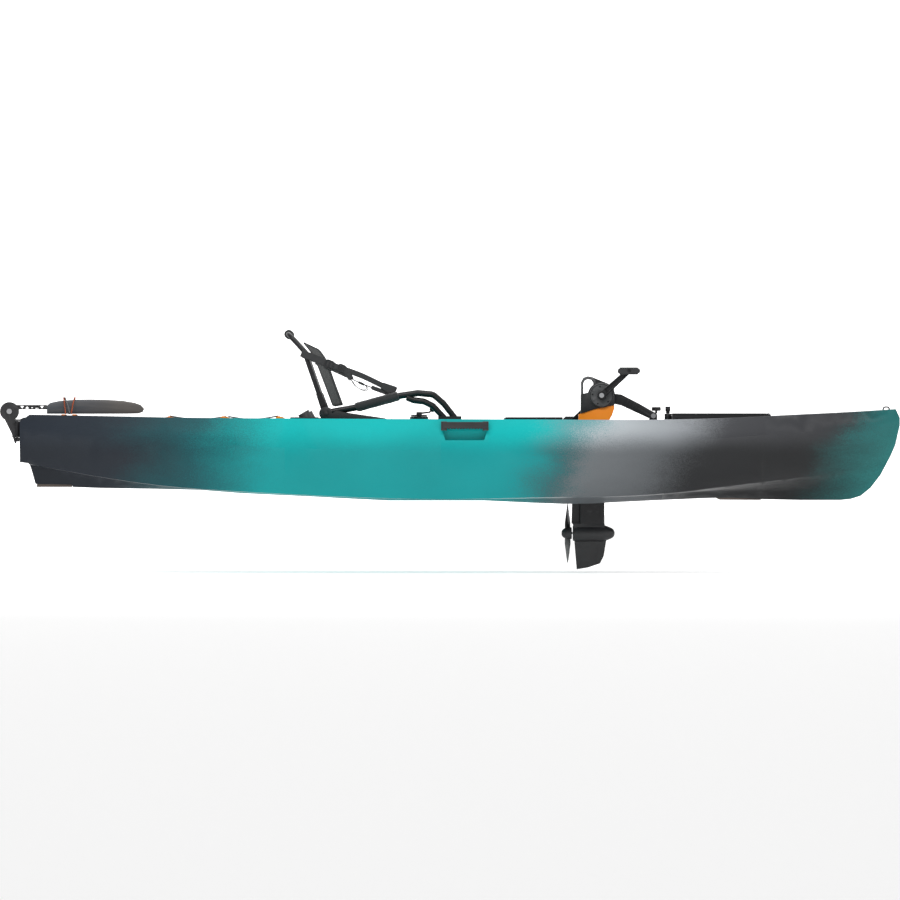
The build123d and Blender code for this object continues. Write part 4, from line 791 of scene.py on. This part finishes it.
def recline_straps():
    """Each side's strap: wide webbing, a clip, a ladder lock, narrow webbing and a sewn tab at the seat."""
    y = -(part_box("recline_straps")[1].y - STRAP_SETBACK)
    run = (STRAP_TAB[0] - STRAP_TOP[0], STRAP_TAB[1] - STRAP_TOP[1])
    webs = [
        strap_run("web_a", [STRAP_TOP, (-0.600, 0.588), STRAP_CLIP], y, WEB_WIDE),
        strap_run("web_b", [STRAP_CLIP, STRAP_LADDER], y - 0.0008, WEB_MIDDLE),
        strap_run("web_c", [STRAP_LADDER, (-0.410, 0.519), STRAP_TAB, STRAP_FOOT], y, WEB_NARROW),
        strap_run("web_tail", [STRAP_LADDER, (-0.470, 0.530), (-0.455, 0.505)], y - 0.0016, WEB_NARROW),
    ]
    tab_s = np.linspace(0, 1, 24)
    tab_path = np.array([(-0.325, y - 0.0022, 0.478)]) * (1 - tab_s[:, None]) + np.array(
        [(-0.272, y - 0.0022, 0.452)]) * tab_s[:, None]
    widths = 0.026 + 0.016 * tab_s
    tab_profile = flat_band(1.0, 0.0016)[None] * np.stack([widths, np.ones_like(widths)], axis=-1)[:, None, :]
    webs.append(surface("web_tab", carried(tab_path, tab_profile), round_columns=True, capped=True))
    webs.append(strap_run("web_low", [(-0.600, 0.570), (-0.540, 0.548), (-0.474, 0.518)], y + 0.003, 0.012))
    webs.append(strap_run("web_low_end", [(-0.368, 0.470), (-0.335, 0.458), (-0.300, 0.446)], y + 0.003, 0.016))
    cords = [[(-0.474, 0.518), (-0.440, 0.500), (-0.405, 0.484), (-0.368, 0.470)],
             [(-0.474, 0.518), (-0.452, 0.498), (-0.436, 0.476), (-0.411, 0.461), (-0.392, 0.460), (-0.388, 0.470),
              (-0.400, 0.482)]]
    for k, line in enumerate(cords):
        path = smooth_path([(px, y + 0.003, pz) for px, pz in line], 50)
        webs.append(surface(f"draw_cord{k}", carried(path, circle(DRAW_CORD_R, 8)), round_columns=True, capped=True))
    web = merged(*webs)
    web.name = "recline_strap_right"
    toggle = smooth_path([(-0.422, y + 0.003, 0.491), (-0.402, y + 0.003, 0.483)], 12)
    locks = merged(buckle("lock_a", STRAP_CLIP, y - 0.002, run, (0.034, 0.034), 1),
                   buckle("lock_b", STRAP_LADDER, y - 0.002, run, (0.026, 0.028), 2),
                   surface("toggle", carried(toggle, circle(TOGGLE_R, 14)), round_columns=True, capped=True))
    locks.name = "strap_buckles_right"
    pieces = [(web, MATERIALS["webbing"]), (locks, MATERIALS["black_plastic"]),
              (mirrored("recline_strap_left", web), MATERIALS["webbing"]),
              (mirrored("strap_buckles_left", locks), MATERIALS["black_plastic"])]
    for piece, material in pieces:
        dress(piece, material)
        if "recline" in piece.name:
            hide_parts("recline_straps")
        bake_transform(piece)


# ------------------------------------------------------------------ rudder and cords
TIE_R, BUNGEE_R, STEERING_R = 0.0026, 0.003, 0.002
BUNGEE_DIP = 0.012


def blade():
    """The rudder blade: at each station a lens section, |a|^2.4 + |b|^2 = 1, between its top and bottom edges."""
    low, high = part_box("rudder_blade")
    span = high.x - low.x
    s = (1 - np.cos(np.linspace(0, np.pi, 90))) / 2
    x = low.x + span * s
    top = np.interp(s, [0, 0.03, 0.12, 0.3, 0.46, 0.62, 0.78, 0.9, 0.965, 1.0],
                    [0.034, 0.046, 0.054, 0.060, 0.0605, 0.059, 0.055, 0.047, 0.038, 0.022])
    base = np.interp(s, [0, 0.4, 0.8, 0.94, 0.985, 1.0], [0.0005, 0.0005, 0.0008, 0.002, 0.008, 0.020])
    thick = (high.y - low.y) / 2 * np.interp(s, [0, 0.05, 0.5, 0.9, 1.0], [0.92, 1.0, 0.9, 0.6, 0.15])
    turn = np.linspace(0, 2 * np.pi, 40, endpoint=False)
    tall = np.sign(np.sin(turn)) * np.abs(np.sin(turn)) ** 0.85
    wide = np.sign(np.cos(turn)) * np.abs(np.cos(turn)) ** 0.7
    centre = low.z + (top + base) / 2
    z = centre[:, None] + (top - base)[:, None] / 2 * tall[None, :]
    y = (low.y + high.y) / 2 + thick[:, None] * wide[None, :]
    points = np.stack([np.broadcast_to(x[:, None], z.shape), y, z], axis=-1)
    piece = surface("rudder_blade_foil", points, round_columns=True, capped=True)
    place(piece, "rudder", MATERIALS["blade_plastic"], "rudder_blade")


def tie_down():
    """Three orange and two black strands over the stowed blade, from the deck eyes up to a hook on the blade."""
    low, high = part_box("rudder_tiedown")
    foot = low.z + 0.002
    peak = high.z - 0.003
    strands = (("orange_strand_a", -1, low.x + 0.002, low.x + 0.012, ORANGE_CORD),
               ("orange_strand_b", -1, low.x + 0.046, low.x + 0.036, ORANGE_CORD),
               ("black_strand_a", -1, low.x + 0.008, low.x + 0.030, BLACK_CORD),
               ("black_strand_b", 1, low.x + 0.004, low.x + 0.030, BLACK_CORD),
               ("orange_strand_c", 1, low.x + 0.048, low.x + 0.020, ORANGE_CORD))
    for name, side, x_top, x_foot, material in strands:
        path = smooth_path([(x_top, side * 0.001, peak), (x_top, side * 0.010, peak - 0.001),
                            ((x_top + x_foot) / 2, side * 0.036, (peak + foot) / 2 + 0.004),
                            (x_foot, side * 0.060, foot)], 50)
        piece = surface(name, carried(path, circle(TIE_R, 12), (1, 0, 0)), round_columns=True, capped=True)
        place(piece, "hull_body", material)
        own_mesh(piece)
    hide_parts("rudder_tiedown")


def tank_cord():
    """The cord across the tank well, hanging a little between its hooks."""
    low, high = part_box("tank_bungee")
    middle = (low.x + high.x) / 2
    z = (low.z + high.z) / 2
    reach = high.y - 0.003
    runs = [((low.x + 0.002, -reach * 0.88), (middle - 0.006, reach * 0.94)),
            ((middle + 0.006, reach * 0.94), (high.x - 0.002, -reach))]
    parts = []
    for k, ((xa, ya), (xb, yb)) in enumerate(runs):
        s = np.linspace(0, 1, 60)
        sag = -BUNGEE_DIP * np.sin(np.pi * s)
        path = np.stack([xa + (xb - xa) * s, ya + (yb - ya) * s, z + sag], axis=-1)
        rings = carried(path, circle(BUNGEE_R, 12), (0, 0, 1))
        parts.append(surface(f"run{k}", rings, round_columns=True, capped=True))
    piece = merged(*parts)
    piece.name = "tank_bungee_cord"
    place(piece, "hull_body", BLACK_CORD, "tank_bungee")


def steering_cords():
    """The two steering lines from the deck to the rudder head's horn."""
    low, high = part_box("steering_lines")
    for name, side in (("steering_line_right", -1), ("steering_line_left", 1)):
        head = (low.x + 0.002, side * 0.024, low.z + 0.002)
        deck = (high.x - 0.002, side * (high.y - 0.002), high.z - 0.002)
        middle = ((head[0] + deck[0]) / 2, side * 0.0275, (head[2] + deck[2]) / 2 - 0.0015)
        path = smooth_path([head, middle, deck], 40)
        piece = surface(name, carried(path, circle(STEERING_R, 12)), round_columns=True, capped=True)
        dress(piece, BLACK_CORD)
        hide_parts("steering_lines")
        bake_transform(piece)


# ------------------------------------------------------------------ drive
CRANK = JOINTS["crank_spin"]["pos_m"]
COVER_RIM_R = 0.0475
COVER_SCREWS, SCREW_RING_R, SCREW_R = 5, 0.038, 0.0032


def slab(name, outline, half, round_width):
    """A plate standing along the hull: an outline in X and Z, between -half and half across, with round edges."""
    bm = bmesh.new()
    rings = [[bm.verts.new((x, side * half, z)) for x, z in outline] for side in (-1, 1)]
    bm.faces.new(rings[0])
    bm.faces.new(rings[1][::-1])
    count = len(outline)
    for k in range(count):
        bm.faces.new((rings[0][k], rings[0][(k + 1) % count], rings[1][(k + 1) % count], rings[1][k]))
    bmesh.ops.recalc_face_normals(bm, faces=bm.faces)
    mesh = bpy.data.meshes.new(name)
    bm.to_mesh(mesh)
    bm.free()
    mesh.polygons.foreach_set("use_smooth", np.full(len(mesh.polygons), True))
    piece = bpy.data.objects.new(name, mesh)
    bpy.context.scene.collection.objects.link(piece)
    soft = piece.modifiers.new("round", "BEVEL")
    soft.width = round_width
    soft.segments = 3
    soft.harden_normals = True
    return piece


def drive_details():
    """The web from the carry loop down to the arm, the arm's ribs, and the covers' rims and screws."""
    web = slab("drive_web", [(0.5356, 0.5160), (0.5500, 0.5130), (0.6120, 0.4880), (0.6410, 0.4700), (0.6390, 0.4540),
                             (0.6000, 0.4700), (0.5560, 0.4740), (0.5630, 0.4930), (0.5500, 0.5050)], 0.013, 0.0025)
    place(web, "drive", MATERIALS["black_plastic"])
    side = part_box("tilt_arm")[1].y
    ribs = []
    for k, t in enumerate(np.linspace(0.0, 1.0, 7)):
        x, z = 0.690 + 0.075 * t, 0.4175 - 0.0400 * t
        for face in (-1, 1):
            line = np.array([x, face * side, z]) + np.linspace(-1, 1, 6)[:, None] * np.array([0.0038, 0, 0.0072])
            ribs.append(surface(f"rib_{k}_{face}", carried(line, circle(0.0013, 10)), round_columns=True, capped=True))
    ribs = merged(*ribs)
    ribs.name = "tilt_arm_ribs"
    place(ribs, "drive", MATERIALS["black_plastic"])
    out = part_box("bearing_covers")[1].y
    trims = []
    turn = np.linspace(0, 2 * np.pi, 73)
    for face in (-1, 1):
        ring = np.stack([CRANK[0] + COVER_RIM_R * np.cos(turn), np.full(73, face * out),
                         CRANK[2] + COVER_RIM_R * np.sin(turn)], axis=-1)
        trims.append(surface(f"rim{face}", carried(ring, circle(0.0012, 8)), round_columns=True))
        for k in range(COVER_SCREWS):
            a = 0.5 + k * 2 * np.pi / COVER_SCREWS
            at = np.array([CRANK[0] + SCREW_RING_R * np.cos(a), 0, CRANK[2] + SCREW_RING_R * np.sin(a)])
            line = at + np.linspace(out - 0.001, out + 0.0012, 5)[:, None] * np.array([0, face, 0])
            trims.append(surface(f"screw{face}_{k}", carried(line, circle(SCREW_R, 16), (0, 0, 1)),
                                 round_columns=True, capped=True))
    trims = merged(*trims)
    trims.name = "cover_screws"
    place(trims, "drive", MATERIALS["black_metal"])


# ------------------------------------------------------------------ propeller
def propeller_blades():
    """Hub and two twisted blades: each section is a cambered lens turned to its pitch."""
    low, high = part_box("propeller")
    axis = np.array([JOINTS["prop_spin"]["pos_m"][0], 0, JOINTS["prop_spin"]["pos_m"][2]])
    reach = (high.z - low.z) / 2
    radius = np.linspace(0.018, reach, 40)
    t = (radius - radius[0]) / (radius[-1] - radius[0])
    chord = np.interp(t, [0, 0.25, 0.6, 0.85, 0.96, 1.0], [0.038, 0.050, 0.047, 0.033, 0.020, 0.006])
    pitch = np.radians(np.interp(t, [0, 0.5, 1], [36, 20, 11]))
    thick = np.interp(t, [0, 0.5, 1], [0.0066, 0.0036, 0.0014])
    turn = np.linspace(0, 2 * np.pi, 28, endpoint=False)
    c = np.cos(turn)[None, :] * chord[:, None] / 2
    h = np.sin(turn)[None, :] * thick[:, None] / 2 + 0.10 * (chord[:, None] / 2 - c ** 2 / (chord[:, None] / 2)) * 0.4
    x = c * np.sin(pitch)[:, None] + h * np.cos(pitch)[:, None]
    y = c * np.cos(pitch)[:, None] - h * np.sin(pitch)[:, None]
    z = np.broadcast_to(radius[:, None], c.shape)
    up = np.stack([axis[0] + x, axis[1] + y, axis[2] + z], axis=-1)[:, ::-1]
    down = np.stack([axis[0] + x, axis[1] - y, axis[2] - z], axis=-1)[:, ::-1]
    parts = [surface("blade_up", up, round_columns=True, capped=True),
             surface("blade_down", down, round_columns=True, capped=True)]
    profile_x = np.array([0, 0.002, 0.008, 0.018, 0.036, 0.0425, 0.043])
    profile_r = np.array([0.006, 0.012, 0.018, 0.0235, 0.025, 0.0245, 0.022])
    hub_x = np.linspace(0, profile_x[-1], 40)
    path = np.stack([low.x + hub_x, np.zeros(40), np.full(40, axis[2])], axis=-1)
    rings = circle(1.0, 36)[None] * np.interp(hub_x, profile_x, profile_r)[:, None, None]
    parts.append(surface("hub", carried(path, rings), round_columns=True, capped=True))
    piece = merged(*parts)
    piece.name = "propeller_screw"
    place(piece, "screw", MATERIALS["black_plastic"], "propeller")


seamless_hull()
seat_cloth()
seat_sleeve()
back_wings()
grip_sleeve()
recline_straps()
blade()
tie_down()
tank_cord()
steering_cords()
drive_details()
propeller_blades()
ROUNDED = {
    "hatch_lid": 0.003, "hatch_coaming": 0.002, "hatch_latch": 0.0012, "skid_plates": 0.002, "side_handles": 0.002,
    "accessory_tracks": 0.0006, "deck_hooks": 0.0012, "rudder_bracket": 0.0012, "rudder_head": 0.0016,
    "rudder_arm": 0.0010, "steering_base": 0.0025, "steering_lever": 0.0016, "drive_casing_right": 0.003,
    "drive_casing_left": 0.003, "bearing_covers": 0.0008, "drive_cowl": 0.0022, "gearcase": 0.0018,
    "tilt_arm": 0.0012, "drive_handle": 0.0035, "tilt_bracket": 0.0015, "crank_arm_right": 0.0022,
    "crank_arm_left": 0.0022, "pedal_right": 0.0014, "pedal_left": 0.0014, "seat_hinges": 0.0018,
    "seat_feet": 0.003, "back_brackets": 0.0008, "foot_pads": 0.0015, "rod_holders": 0.0010,
}
for name, width in ROUNDED.items():
    softened(name, width)
